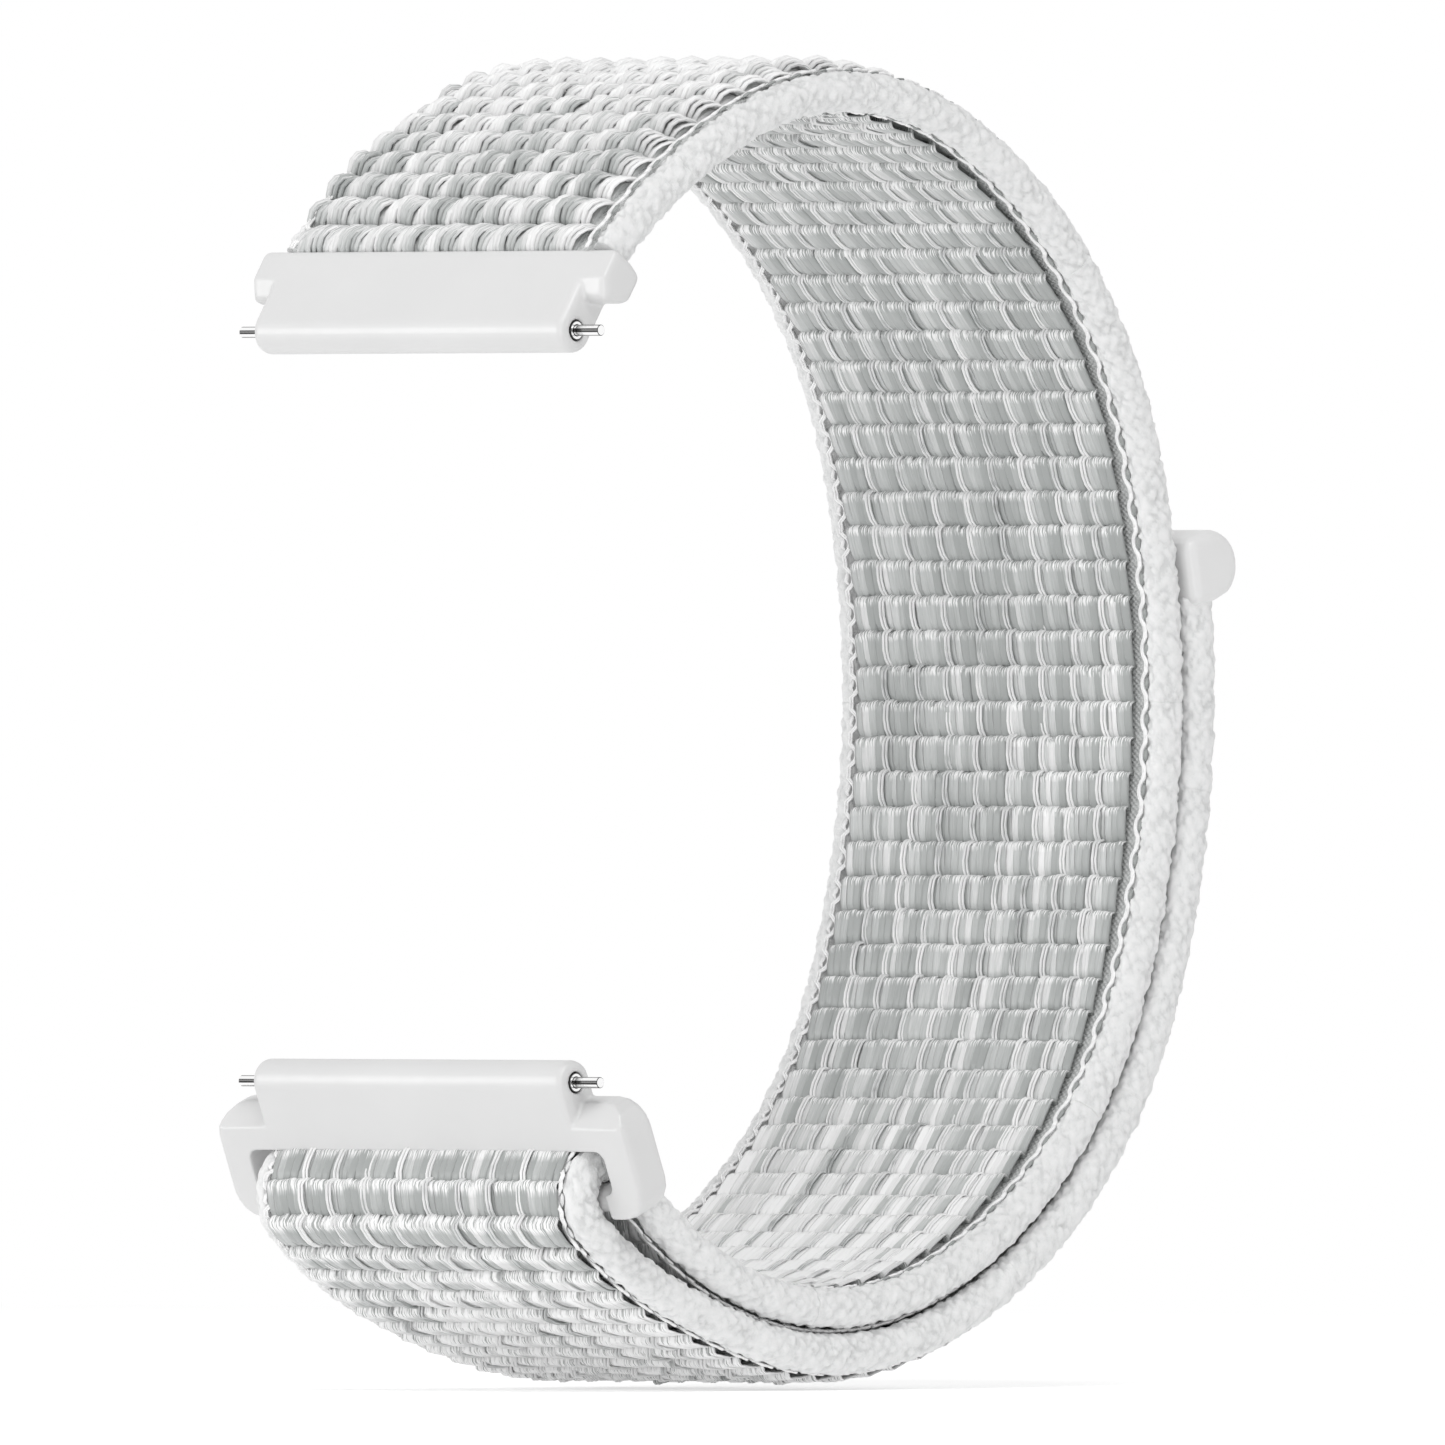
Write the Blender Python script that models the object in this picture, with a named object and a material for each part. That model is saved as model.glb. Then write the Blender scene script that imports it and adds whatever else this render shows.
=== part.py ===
"""Hook and loop watch strap, closed as worn, for a watch with 20 mm lugs.

The strap is a woven nylon web with a round cord along each edge.  Its fixed end is
bonded into the upper adapter.  Its free end goes out through the lower adapter's
slot, folds back over the lower adapter's bar and lies on the outside of the loop,
where a hook patch holds it.  A sprung bar in each adapter fits the watch's lugs.

X runs from the watch to the closure, Y across the strap and Z up.  The origin is
the middle of the upper spring bar.  Sizes are in millimetres until they are placed.
"""

import math

import bmesh
import bpy
from mathutils import Vector

MM = 0.001

# Band: the side profile of its middle line, as arcs of (radius, sweep in degrees)
BAND_START = (2.18, 3.40)
BAND_START_HEADING = 44.7
BAND_ARCS = {
    "upper": (30.3, -22.3),
    "crown": (18.2, -49.5),
    "shoulder": (24.4, -47.9),
    "side": (41.1, -33.5),
    "turn": (23.5, -53.8),
    "base": (19.25, -66.1),
}
FOLD_ARC = (1.8, 188.8)
TAIL_ROOT_ARCS = [(21.44, 17.1), (48.24, 7.4), (21.41, 32.7)]
TAIL_SIDE_SWEEP = 28.5
STEP_LENGTH = 2.6
STEP_ANGLE = 9.0
SHORTEST_STEP = 0.4
SPLIT_GAP = 0.3

# Band: its cross-section
WEB_WIDTH = 16.8
WEB_THICKNESS = 1.5
WEB_EDGE_CHAMFER = 0.35
CORD_SPACING = 18.9
CORD_WIDTH = 1.8
CORD_THICKNESS = 2.0
CORD_SIDES = 10
LAYER_SPACING = 2.2
FOLD_WEB_THICKNESS = 1.2
FOLD_CORD_WIDTH = 1.8
FOLD_CORD_THICKNESS = 1.5

# Band ends, pressed thin where they are bonded into the mouldings
BONDED_THICKNESS = 0.7
BONDED_WIDTH = 17.2
BONDED_DEPTH = 2.0
POCKET_THICKNESS = 1.3
POCKET_WIDTH = 17.8
POCKET_DEPTH = 2.3
POCKET_OVERRUN = 1.5
BONDED_CHAMFER = 0.15
POCKET_CHAMFER = 0.2
BONDED_REACH_OUT = 0.1
BAND_EXIT_GAP = 0.45

# Hook patch on the tail's inner face
PATCH_WIDTH = 15.0
PATCH_THICKNESS = 0.4
PATCH_GAP = 0.15
PATCH_CHAMFER = 0.1
PATCH_END_GAP = 0.2
PATCH_START = 1.0

# Adapters
LUG_WIDTH = 19.8
BARREL_RADIUS = 1.05
BORE_RADIUS = 0.66
MOULDING_EDGE = 0.35
BARREL_STEPS = 14
BORE_SIDES = 24
UPPER_LEAN = 34.0
UPPER_WIDTH = 22.5
UPPER_HEIGHT = 3.95
UPPER_PLATE_HEIGHT = 3.35
SHOULDER_HALF_DEPTH = 1.12
UPPER_SHOULDER = [
    (2.31, -1.12), (1.32, -0.37), (2.22, 1.12),
    (3.75, 1.12), (3.95, 0.2), (3.95, -1.12),
]
LOWER_LEAN = 22.5
LOWER_WIDTH = 25.9
LOWER_SHOULDER_FRONT = 1.86
LOWER_SHOULDER_BACK = 1.0
LOWER_LENGTH = 6.6
LOWER_CORNER_RADIUS = 1.5
SLOT_WIDTH = 22.5
SLOT_TOP = 3.1
SLOT_BOTTOM = 5.3
SLOT_CORNER = 0.5
SLOT_CUT_HALF_DEPTH = 3.0
LOWER_PLATE_HEIGHT = 2.7
BAR_CLEARANCE_START = 4.7
SLOPE_CUT_DEPTH = 2.0
SLOPE_CUT_RISE = 0.9
CUT_MARGIN = 1.0
BAR_CLEARANCE_WIDTH = 21.4
BAR_DISTANCE = 5.8
BAR_HALF_HEIGHT = 0.66
BAR_HALF_DEPTH = 0.78
BAR_ROOT_LENGTH = 0.7
BAR_SIDES = 16

# Spring bars
TUBE_LENGTH = 19.4
TUBE_RADIUS = 0.60
TUBE_INNER_RADIUS = 0.45
TUBE_LIP_RADIUS = 0.37
TUBE_LIP_LENGTH = 0.35
TUBE_SIDES = 20
SHANK_RADIUS = 0.40
SHANK_LENGTH = 3.6
SHANK_END_GAP = 0.05
PLUNGER_SIDES = 16
TIP_RADIUS = 0.30
TIP_REACH = 11.4
TIP_DOME = 0.12
SPRING_RADIUS = 0.33
SPRING_WIRE_RADIUS = 0.06
SPRING_TURNS = 14
SPRING_POINTS_PER_TURN = 10
SPRING_SIDES = 5
SPRING_END_GAP = 0.1

# Tab at the tail's end
TAB_WIDTH = 21.4
TAB_RADIUS = 1.7
TAB_CENTRE_OUT = 0.6
TAB_INNER_FACE = -1.0
TAB_MIDDLE = 1.75
TAB_CORNER = 0.45
TAB_ROOT_OUT = 0.54
TAB_ROUND_START = -60.0
TAB_ROUND_SWEEP = 150.0
TAB_ROUND_STEPS = 10
TAB_END_TAPER = 0.25

# Finishes: colour, roughness and metallic value
FINISHES = {
    "white_plastic": ((0.86, 0.86, 0.86), 0.32, 0.0),
    "woven_web": ((0.72, 0.74, 0.73), 0.55, 0.0),
    "edge_cord": ((0.86, 0.87, 0.87), 0.80, 0.0),
    "spring_bar_steel": ((0.66, 0.67, 0.69), 0.18, 1.0),
    "spring_wire": ((0.50, 0.51, 0.53), 0.30, 1.0),
    "hook_nylon": ((0.80, 0.81, 0.81), 0.60, 0.0),
}


def clear_scene():
    for scene_object in list(bpy.data.objects):
        bpy.data.objects.remove(scene_object, do_unlink=True)


def finish(node, finish_name):
    """Give a node its own material with one of the finishes."""
    colour, roughness, metallic = FINISHES[finish_name]
    material = bpy.data.materials.new(node.name + "_" + finish_name)
    material.use_nodes = True
    shader = material.node_tree.nodes["Principled BSDF"]
    shader.inputs["Base Color"].default_value = (*colour, 1.0)
    shader.inputs["Roughness"].default_value = roughness
    shader.inputs["Metallic"].default_value = metallic
    node.data.materials.append(material)


def add_object(name, shape, origin=(0.0, 0.0, 0.0)):
    """Make an object from a bmesh in millimetres, with its origin at a point."""
    place = Vector(origin)
    bmesh.ops.translate(shape, verts=shape.verts, vec=-place)
    bmesh.ops.scale(shape, verts=shape.verts, vec=(MM, MM, MM))
    bmesh.ops.recalc_face_normals(shape, faces=shape.faces)
    mesh = bpy.data.meshes.new(name)
    shape.to_mesh(mesh)
    shape.free()
    mesh.shade_smooth()
    mesh.set_sharp_from_angle(angle=math.radians(35))
    node = bpy.data.objects.new(name, mesh)
    node.location = place * MM
    bpy.context.scene.collection.objects.link(node)
    return node


def loft(rings):
    """Join rings of points with quads and close both ends."""
    shape = bmesh.new()
    loops = [[shape.verts.new(point) for point in ring] for ring in rings]
    count = len(loops[0])
    for first, second in zip(loops, loops[1:]):
        for index in range(count):
            following = (index + 1) % count
            shape.faces.new((first[index], first[following], second[following], second[index]))
    shape.faces.new(loops[0])
    shape.faces.new(reversed(loops[-1]))
    return shape


def extrude_profile(profile, half_width):
    """Prism across the strap from an outline of (x, z) points."""
    near = [(x, -half_width, z) for x, z in profile]
    far = [(x, half_width, z) for x, z in profile]
    return loft([near, far])


def bevel(node, width, segments=2):
    modifier = node.modifiers.new("edge", "BEVEL")
    modifier.width = width * MM
    modifier.segments = segments
    modifier.limit_method = "ANGLE"
    modifier.angle_limit = math.radians(40)
    modifier.use_clamp_overlap = True


def combine(node, tool, operation):
    """Union a node with a tool, or cut the tool out of it."""
    tool.hide_render = True
    tool.display_type = "WIRE"
    modifier = node.modifiers.new(tool.name, "BOOLEAN")
    modifier.operation = operation
    modifier.solver = "EXACT"
    modifier.object = tool


def walk(start, heading, arcs):
    """Stations (x, z, heading) along a chain of tangent arcs.

    A positive sweep turns left, seen with X to the right and Z up.
    """
    x, z = start
    stations = [(x, z, heading)]
    for radius, sweep in arcs:
        length = radius * math.radians(abs(sweep))
        steps = max(2, math.ceil(abs(sweep) / STEP_ANGLE), math.ceil(length / STEP_LENGTH))
        turn = math.radians(sweep) / steps
        chord = 2.0 * radius * math.sin(abs(turn) / 2.0)
        for _ in range(steps):
            x += chord * math.cos(heading + turn / 2.0)
            z += chord * math.sin(heading + turn / 2.0)
            heading += turn
            stations.append((x, z, heading))
    return stations


def station_at(stations, distance):
    """Station at a distance along a chain of arcs."""
    for (x, z, heading), (next_x, next_z, next_heading) in zip(stations, stations[1:]):
        half_turn = (next_heading - heading) / 2.0
        diameter = math.dist((x, z), (next_x, next_z)) / math.sin(half_turn)
        length = diameter * half_turn
        if distance <= length:
            half_way = half_turn * distance / length
            chord = diameter * math.sin(half_way)
            middle = heading + half_way
            return (x + chord * math.cos(middle), z + chord * math.sin(middle), heading + 2.0 * half_way)
        distance -= length
    return stations[-1]


def trim(stations, first_cut, last_cut):
    """Cut a length off each end of a chain of arcs."""
    backwards = [(x, z, heading + math.pi) for x, z, heading in reversed(stations)]
    first = station_at(stations, first_cut)
    x, z, heading = station_at(backwards, last_cut)
    last = (x, z, heading - math.pi)
    kept = []
    for station in stations[1:-1]:
        from_start = math.dist(station[:2], stations[0][:2])
        from_end = math.dist(station[:2], stations[-1][:2])
        if from_start > first_cut + SHORTEST_STEP and from_end > last_cut + SHORTEST_STEP:
            kept.append(station)
    return [first] + kept + [last]


def shifted_along(station, distance):
    """Station moved straight on along its own direction."""
    x, z, heading = station
    return (x + distance * math.cos(heading), z + distance * math.sin(heading), heading)


def place_on_curve(station, across, out):
    """Point at a distance across the strap and to the left of its direction."""
    x, z, heading = station
    return (x - out * math.sin(heading), across, z + out * math.cos(heading))


def chamfered_section(width, thickness, chamfer, centre_out=0.0):
    """Outline (across, out) of a flat web with chamfered edges."""
    half_width = width / 2.0
    half_thickness = thickness / 2.0
    corners = []
    for side, level in ((-1, -1), (1, -1), (1, 1), (-1, 1)):
        along_face = (side * (half_width - chamfer), centre_out + level * half_thickness)
        along_edge = (side * half_width, centre_out + level * (half_thickness - chamfer))
        corners += [along_edge, along_face] if side == level else [along_face, along_edge]
    return corners


def oval_section(width, thickness, centre_across):
    """Outline (across, out) of a cord, as an oval."""
    points = []
    for index in range(CORD_SIDES):
        angle = 2.0 * math.pi * index / CORD_SIDES
        across = centre_across + width / 2.0 * math.cos(angle)
        points.append((across, thickness / 2.0 * math.sin(angle)))
    return points


def sweep_sections(name, stations, sections, finish_name, origin):
    """Loft one section for each station along a curve."""
    rings = []
    for station, section in zip(stations, sections):
        rings.append([place_on_curve(station, across, out) for across, out in section])
    node = add_object(name, loft(rings), origin)
    finish(node, finish_name)
    return node


def band_sections(web_thickness, cord_width, cord_thickness):
    """Names, outlines and finishes of the web and its two edge cords."""
    web = chamfered_section(WEB_WIDTH, web_thickness, WEB_EDGE_CHAMFER)
    near = oval_section(cord_width, cord_thickness, -CORD_SPACING / 2.0)
    far = oval_section(cord_width, cord_thickness, CORD_SPACING / 2.0)
    return [("web", web, "woven_web"), ("near_cord", near, "edge_cord"), ("far_cord", far, "edge_cord")]


def band_length(name, stations, pivot, first_cut=SPLIT_GAP / 2.0):
    """One length of the band: its web and its near and far cords."""
    trimmed = trim(stations, first_cut, SPLIT_GAP / 2.0)
    if name == "fold":
        parts = band_sections(FOLD_WEB_THICKNESS, FOLD_CORD_WIDTH, FOLD_CORD_THICKNESS)
    else:
        parts = band_sections(WEB_THICKNESS, CORD_WIDTH, CORD_THICKNESS)
    for part_name, section, finish_name in parts:
        node_name = part_name + "_" + name
        sweep_sections(node_name, trimmed, [section] * len(trimmed), finish_name, pivot)


def hinge_point(station, side):
    """Point on the band's outer face where it bends, at a split."""
    return place_on_curve(station, 0.0, side * CORD_THICKNESS / 2.0)


def lean_axes(lean, direction):
    """Unit vectors of an adapter: along it from its barrel, and through it inwards.

    The direction is 1 for the adapter that stands up from its barrel, -1 for the
    one that hangs down from it.
    """
    angle = math.radians(lean)
    along = Vector((math.sin(angle), 0.0, direction * math.cos(angle)))
    inward = Vector((math.cos(angle), 0.0, -direction * math.sin(angle)))
    return along, inward


def adapter_outline(points, centre, along, inward):
    """Turn (along, inward) points into (x, z) points of the model."""
    outline = []
    for distance, depth in points:
        place = Vector(centre) + along * distance + inward * depth
        outline.append((place.x, place.z))
    return outline


def barrel_outline(height):
    """Round barrel with a plate as thick as it, rising to a height."""
    points = [(height, BARREL_RADIUS), (height, -BARREL_RADIUS)]
    for index in range(BARREL_STEPS + 1):
        angle = math.pi * index / BARREL_STEPS
        points.append((-BARREL_RADIUS * math.sin(angle), -BARREL_RADIUS * math.cos(angle)))
    return points


def cylinder_across(name, centre, radius, half_width, sides):
    outline = []
    for index in range(sides):
        angle = 2.0 * math.pi * index / sides
        outline.append((centre[0] + radius * math.cos(angle), centre[2] + radius * math.sin(angle)))
    return add_object(name, extrude_profile(outline, half_width))


def box_in_adapter(name, centre, along, inward, low, high, half_width):
    """Cutter between two (along, inward) corners of an adapter."""
    points = [(low[0], low[1]), (high[0], low[1]), (high[0], high[1]), (low[0], high[1])]
    return add_object(name, extrude_profile(adapter_outline(points, centre, along, inward), half_width))


def make_pocket(moulding, name, station, start, end):
    """Cut the pocket that the band's pressed end is bonded into."""
    section = chamfered_section(POCKET_WIDTH, POCKET_THICKNESS, POCKET_CHAMFER)
    rings = []
    for reach in (start, end):
        place = shifted_along(station, reach)
        rings.append([place_on_curve(place, across, out) for across, out in section])
    combine(moulding, add_object(name, loft(rings)), "DIFFERENCE")


def upper_seat(exit_station):
    """Where the band leaves the upper adapter, in line with the adapter as the bonded end lies in it."""
    x, z, _ = exit_station
    return (x, z, math.radians(90.0 - UPPER_LEAN))


def make_upper_adapter(centre, exit_station):
    """Barrel, front plate and the wider shoulder that holds the band's fixed end."""
    along, inward = lean_axes(UPPER_LEAN, 1)
    plate = adapter_outline(barrel_outline(UPPER_PLATE_HEIGHT), centre, along, inward)
    adapter = add_object("upper_adapter", extrude_profile(plate, LUG_WIDTH / 2.0), centre)
    finish(adapter, "white_plastic")
    bevel(adapter, MOULDING_EDGE)
    outline = adapter_outline(UPPER_SHOULDER, centre, along, inward)
    shoulder = add_object("upper_shoulder_tool", extrude_profile(outline, UPPER_WIDTH / 2.0))
    bevel(shoulder, MOULDING_EDGE)
    combine(adapter, shoulder, "UNION")
    bore = cylinder_across("upper_bore_tool", centre, BORE_RADIUS, LUG_WIDTH, BORE_SIDES)
    combine(adapter, bore, "DIFFERENCE")
    make_pocket(adapter, "upper_pocket_tool", upper_seat(exit_station), -POCKET_DEPTH, POCKET_OVERRUN)


def make_fixed_web_end(exit_station, pivot):
    """Pressed end of the web, bonded in the upper adapter's pocket."""
    section = chamfered_section(BONDED_WIDTH, BONDED_THICKNESS, BONDED_CHAMFER)
    seat = upper_seat(exit_station)
    ends = [shifted_along(seat, reach) for reach in (-BONDED_DEPTH, BONDED_REACH_OUT)]
    sweep_sections("web_end_in_adapter", ends, [section, section], "woven_web", pivot)


def rounded_rectangle(low, high, radius, steps=4):
    """Outline (across, along) of a rectangle with round corners."""
    points = []
    corners = [
        (high[0] - radius, high[1] - radius, 0.0),
        (low[0] + radius, high[1] - radius, 90.0),
        (low[0] + radius, low[1] + radius, 180.0),
        (high[0] - radius, low[1] + radius, 270.0),
    ]
    for across, distance, start in corners:
        for index in range(steps + 1):
            angle = math.radians(start + 90.0 * index / steps)
            points.append((across + radius * math.cos(angle), distance + radius * math.sin(angle)))
    return points


def plate_in_adapter(name, outline, centre, along, inward, half_depth, origin=(0.0, 0.0, 0.0)):
    """Plate through an adapter from an outline of (across, along) points."""
    rings = []
    for depth in (-half_depth, half_depth):
        ring = []
        for across, distance in outline:
            place = Vector(centre) + along * distance + inward * depth
            ring.append((place.x, across, place.z))
        rings.append(ring)
    return add_object(name, loft(rings), origin)


def make_lower_adapter(centre, bar_centre):
    """Closed frame: barrel, plate, two arms and the bar that the band folds over."""
    along, inward = lean_axes(LOWER_LEAN, -1)
    half_ring = LOWER_WIDTH / 2.0
    outline = rounded_rectangle(
        (-half_ring, LOWER_SHOULDER_BACK), (half_ring, LOWER_LENGTH), LOWER_CORNER_RADIUS)
    frame = plate_in_adapter(
        "lower_adapter_frame", outline, centre, along, inward, SHOULDER_HALF_DEPTH, bar_centre)
    finish(frame, "white_plastic")
    bevel(frame, MOULDING_EDGE)

    below = LOWER_SHOULDER_BACK - CUT_MARGIN
    slope = [
        (below, -SLOPE_CUT_DEPTH),
        (LOWER_SHOULDER_FRONT + SLOPE_CUT_RISE, -SLOPE_CUT_DEPTH),
        (LOWER_SHOULDER_BACK, 0.0),
        (below, 0.0),
    ]
    slope_outline = adapter_outline(slope, centre, along, inward)
    slope_tool = add_object("lower_slope_tool", extrude_profile(slope_outline, half_ring + CUT_MARGIN))
    combine(frame, slope_tool, "DIFFERENCE")

    plate = adapter_outline(barrel_outline(LOWER_PLATE_HEIGHT), centre, along, inward)
    barrel = add_object("lower_barrel_tool", extrude_profile(plate, LUG_WIDTH / 2.0))
    bevel(barrel, MOULDING_EDGE)
    combine(frame, barrel, "UNION")

    slot_outline = rounded_rectangle(
        (-SLOT_WIDTH / 2.0, SLOT_TOP), (SLOT_WIDTH / 2.0, SLOT_BOTTOM), SLOT_CORNER)
    slot = plate_in_adapter(
        "lower_slot_tool", slot_outline, centre, along, inward, SLOT_CUT_HALF_DEPTH)
    combine(frame, slot, "DIFFERENCE")
    clearance = box_in_adapter(
        "lower_clearance_tool", centre, along, inward,
        (BAR_CLEARANCE_START, -SLOT_CUT_HALF_DEPTH),
        (LOWER_LENGTH + CUT_MARGIN, SLOT_CUT_HALF_DEPTH), BAR_CLEARANCE_WIDTH / 2.0)
    combine(frame, clearance, "DIFFERENCE")

    oval = []
    for index in range(BAR_SIDES):
        angle = 2.0 * math.pi * index / BAR_SIDES
        distance = BAR_DISTANCE + BAR_HALF_HEIGHT * math.cos(angle)
        oval.append((distance, BAR_HALF_DEPTH * math.sin(angle)))
    bar_outline = adapter_outline(oval, centre, along, inward)
    bar = add_object("lower_bar_tool", extrude_profile(bar_outline, SLOT_WIDTH / 2.0 + BAR_ROOT_LENGTH))
    combine(frame, bar, "UNION")

    bore = cylinder_across("lower_bore_tool", centre, BORE_RADIUS, LUG_WIDTH, BORE_SIDES)
    combine(frame, bore, "DIFFERENCE")


def turned(name, profile, centre, sides, finish_name, direction=1):
    """Round piece about the bar's axis, from (radius, distance along) points.

    A profile that begins and ends on the same radius above zero is a closed
    ring, such as a tube.  One that begins and ends at zero is a solid.
    """
    shape = bmesh.new()
    rings = []
    for radius, distance in profile:
        along = centre[1] + direction * distance
        if radius == 0.0:
            rings.append([shape.verts.new((centre[0], along, centre[2]))])
            continue
        ring = []
        for index in range(sides):
            angle = 2.0 * math.pi * (index + 0.5) / sides
            x = centre[0] + radius * math.cos(angle)
            z = centre[2] + radius * math.sin(angle)
            ring.append(shape.verts.new((x, along, z)))
        rings.append(ring)
    pairs = list(zip(rings, rings[1:]))
    if profile[0][0] > 0.0:
        pairs.append((rings[-1], rings[0]))
    for first, second in pairs:
        for index in range(sides):
            following = (index + 1) % sides
            if len(first) == 1:
                shape.faces.new((first[0], second[following], second[index]))
            elif len(second) == 1:
                shape.faces.new((first[index], first[following], second[0]))
            else:
                shape.faces.new((first[index], first[following], second[following], second[index]))
    node = add_object(name, shape, centre)
    finish(node, finish_name)
    return node


def make_coil_spring(name, centre):
    """Helical spring between the two plungers."""
    half_length = TUBE_LENGTH / 2.0 - TUBE_LIP_LENGTH - SHANK_LENGTH - SPRING_END_GAP
    half_length -= SPRING_WIRE_RADIUS
    count = SPRING_TURNS * SPRING_POINTS_PER_TURN
    pitch = 2.0 * half_length / SPRING_TURNS
    rings = []
    for step in range(count + 1):
        angle = 2.0 * math.pi * step / SPRING_POINTS_PER_TURN
        outward = Vector((math.cos(angle), 0.0, math.sin(angle)))
        along = -half_length + pitch * step / SPRING_POINTS_PER_TURN
        middle = Vector(centre) + outward * SPRING_RADIUS + Vector((0.0, along, 0.0))
        tangent = Vector((-math.sin(angle), pitch / (2.0 * math.pi * SPRING_RADIUS), math.cos(angle)))
        binormal = tangent.normalized().cross(outward)
        ring = []
        for side in range(SPRING_SIDES):
            turn = 2.0 * math.pi * side / SPRING_SIDES
            spoke = outward * math.cos(turn) + binormal * math.sin(turn)
            ring.append(middle + spoke * SPRING_WIRE_RADIUS)
        rings.append(ring)
    node = add_object(name, loft(rings), centre)
    finish(node, "spring_wire")


def make_spring_bar(prefix, centre):
    """Tube with crimped ends, a coil spring and two plungers whose tips fit the lugs."""
    half_tube = TUBE_LENGTH / 2.0
    lip_start = half_tube - TUBE_LIP_LENGTH
    tube_profile = [
        (TUBE_RADIUS, -half_tube), (TUBE_RADIUS, half_tube),
        (TUBE_LIP_RADIUS, half_tube), (TUBE_LIP_RADIUS, lip_start),
        (TUBE_INNER_RADIUS, lip_start), (TUBE_INNER_RADIUS, -lip_start),
        (TUBE_LIP_RADIUS, -lip_start), (TUBE_LIP_RADIUS, -half_tube),
    ]
    turned(prefix + "_bar_tube", tube_profile, centre, TUBE_SIDES, "spring_bar_steel")
    make_coil_spring(prefix + "_bar_spring", centre)
    seat = lip_start - SHANK_END_GAP
    plunger_profile = [
        (0.0, seat - SHANK_LENGTH), (SHANK_RADIUS, seat - SHANK_LENGTH), (SHANK_RADIUS, seat),
        (TIP_RADIUS, seat), (TIP_RADIUS, TIP_REACH - TIP_DOME),
        (TIP_RADIUS - TIP_DOME, TIP_REACH), (0.0, TIP_REACH),
    ]
    for side, direction in (("near", -1), ("far", 1)):
        plunger_name = prefix + "_bar_" + side + "_plunger"
        turned(plunger_name, plunger_profile, centre, PLUNGER_SIDES, "spring_bar_steel", direction)


def make_tail_tip(stations, pivot):
    """Last length of the tail: its web is pressed thin where the tab grips it."""
    tab_start = TAB_MIDDLE + TAB_RADIUS
    body = trim(stations, SPLIT_GAP / 2.0, tab_start + SPLIT_GAP)
    for part_name, section, finish_name in band_sections(WEB_THICKNESS, CORD_WIDTH, CORD_THICKNESS)[1:]:
        node_name = part_name + "_tail_tip"
        sweep_sections(node_name, body, [section] * len(body), finish_name, pivot)
    full = chamfered_section(WEB_WIDTH, WEB_THICKNESS, WEB_EDGE_CHAMFER)
    pressed = chamfered_section(WEB_WIDTH, BONDED_THICKNESS, BONDED_CHAMFER)
    gripped = trim(stations, 0.0, tab_start - BONDED_DEPTH)[-1]
    neck = trim(stations, 0.0, tab_start + SPLIT_GAP / 2.0)[-1]
    path = body + [neck, gripped]
    sections = [full] * len(body) + [pressed, pressed]
    sweep_sections("web_tail_tip", path, sections, "woven_web", pivot)


def make_tab(end, pivot):
    """Rounded grip moulded round the tail's end."""
    middle = shifted_along(end, -TAB_MIDDLE)
    profile = [(-TAB_RADIUS, TAB_INNER_FACE), (-TAB_RADIUS, TAB_ROOT_OUT)]
    for index in range(TAB_ROUND_STEPS + 1):
        angle = math.radians(TAB_ROUND_START + TAB_ROUND_SWEEP * index / TAB_ROUND_STEPS)
        profile.append((TAB_RADIUS * math.sin(angle), TAB_CENTRE_OUT + TAB_RADIUS * math.cos(angle)))
    profile.append((TAB_RADIUS - TAB_END_TAPER, TAB_INNER_FACE))
    outline = []
    for distance, out in profile:
        x, _, z = place_on_curve(shifted_along(middle, distance), 0.0, -out)
        outline.append((x, z))
    tab = add_object("tail_tab", extrude_profile(outline, TAB_WIDTH / 2.0), pivot)
    finish(tab, "white_plastic")
    bevel(tab, TAB_CORNER)
    make_pocket(tab, "tab_pocket_tool", middle, -TAB_RADIUS - CUT_MARGIN, POCKET_DEPTH - TAB_RADIUS)


def make_hook_patch(name, stations, first_cut, last_cut, pivot):
    """Strip of hooks on the tail's inner face."""
    trimmed = trim(stations, first_cut, last_cut)
    middle_out = WEB_THICKNESS / 2.0 + PATCH_GAP + PATCH_THICKNESS / 2.0
    section = chamfered_section(PATCH_WIDTH, PATCH_THICKNESS, PATCH_CHAMFER, middle_out)
    sweep_sections(name, trimmed, [section] * len(trimmed), "hook_nylon", pivot)


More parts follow.
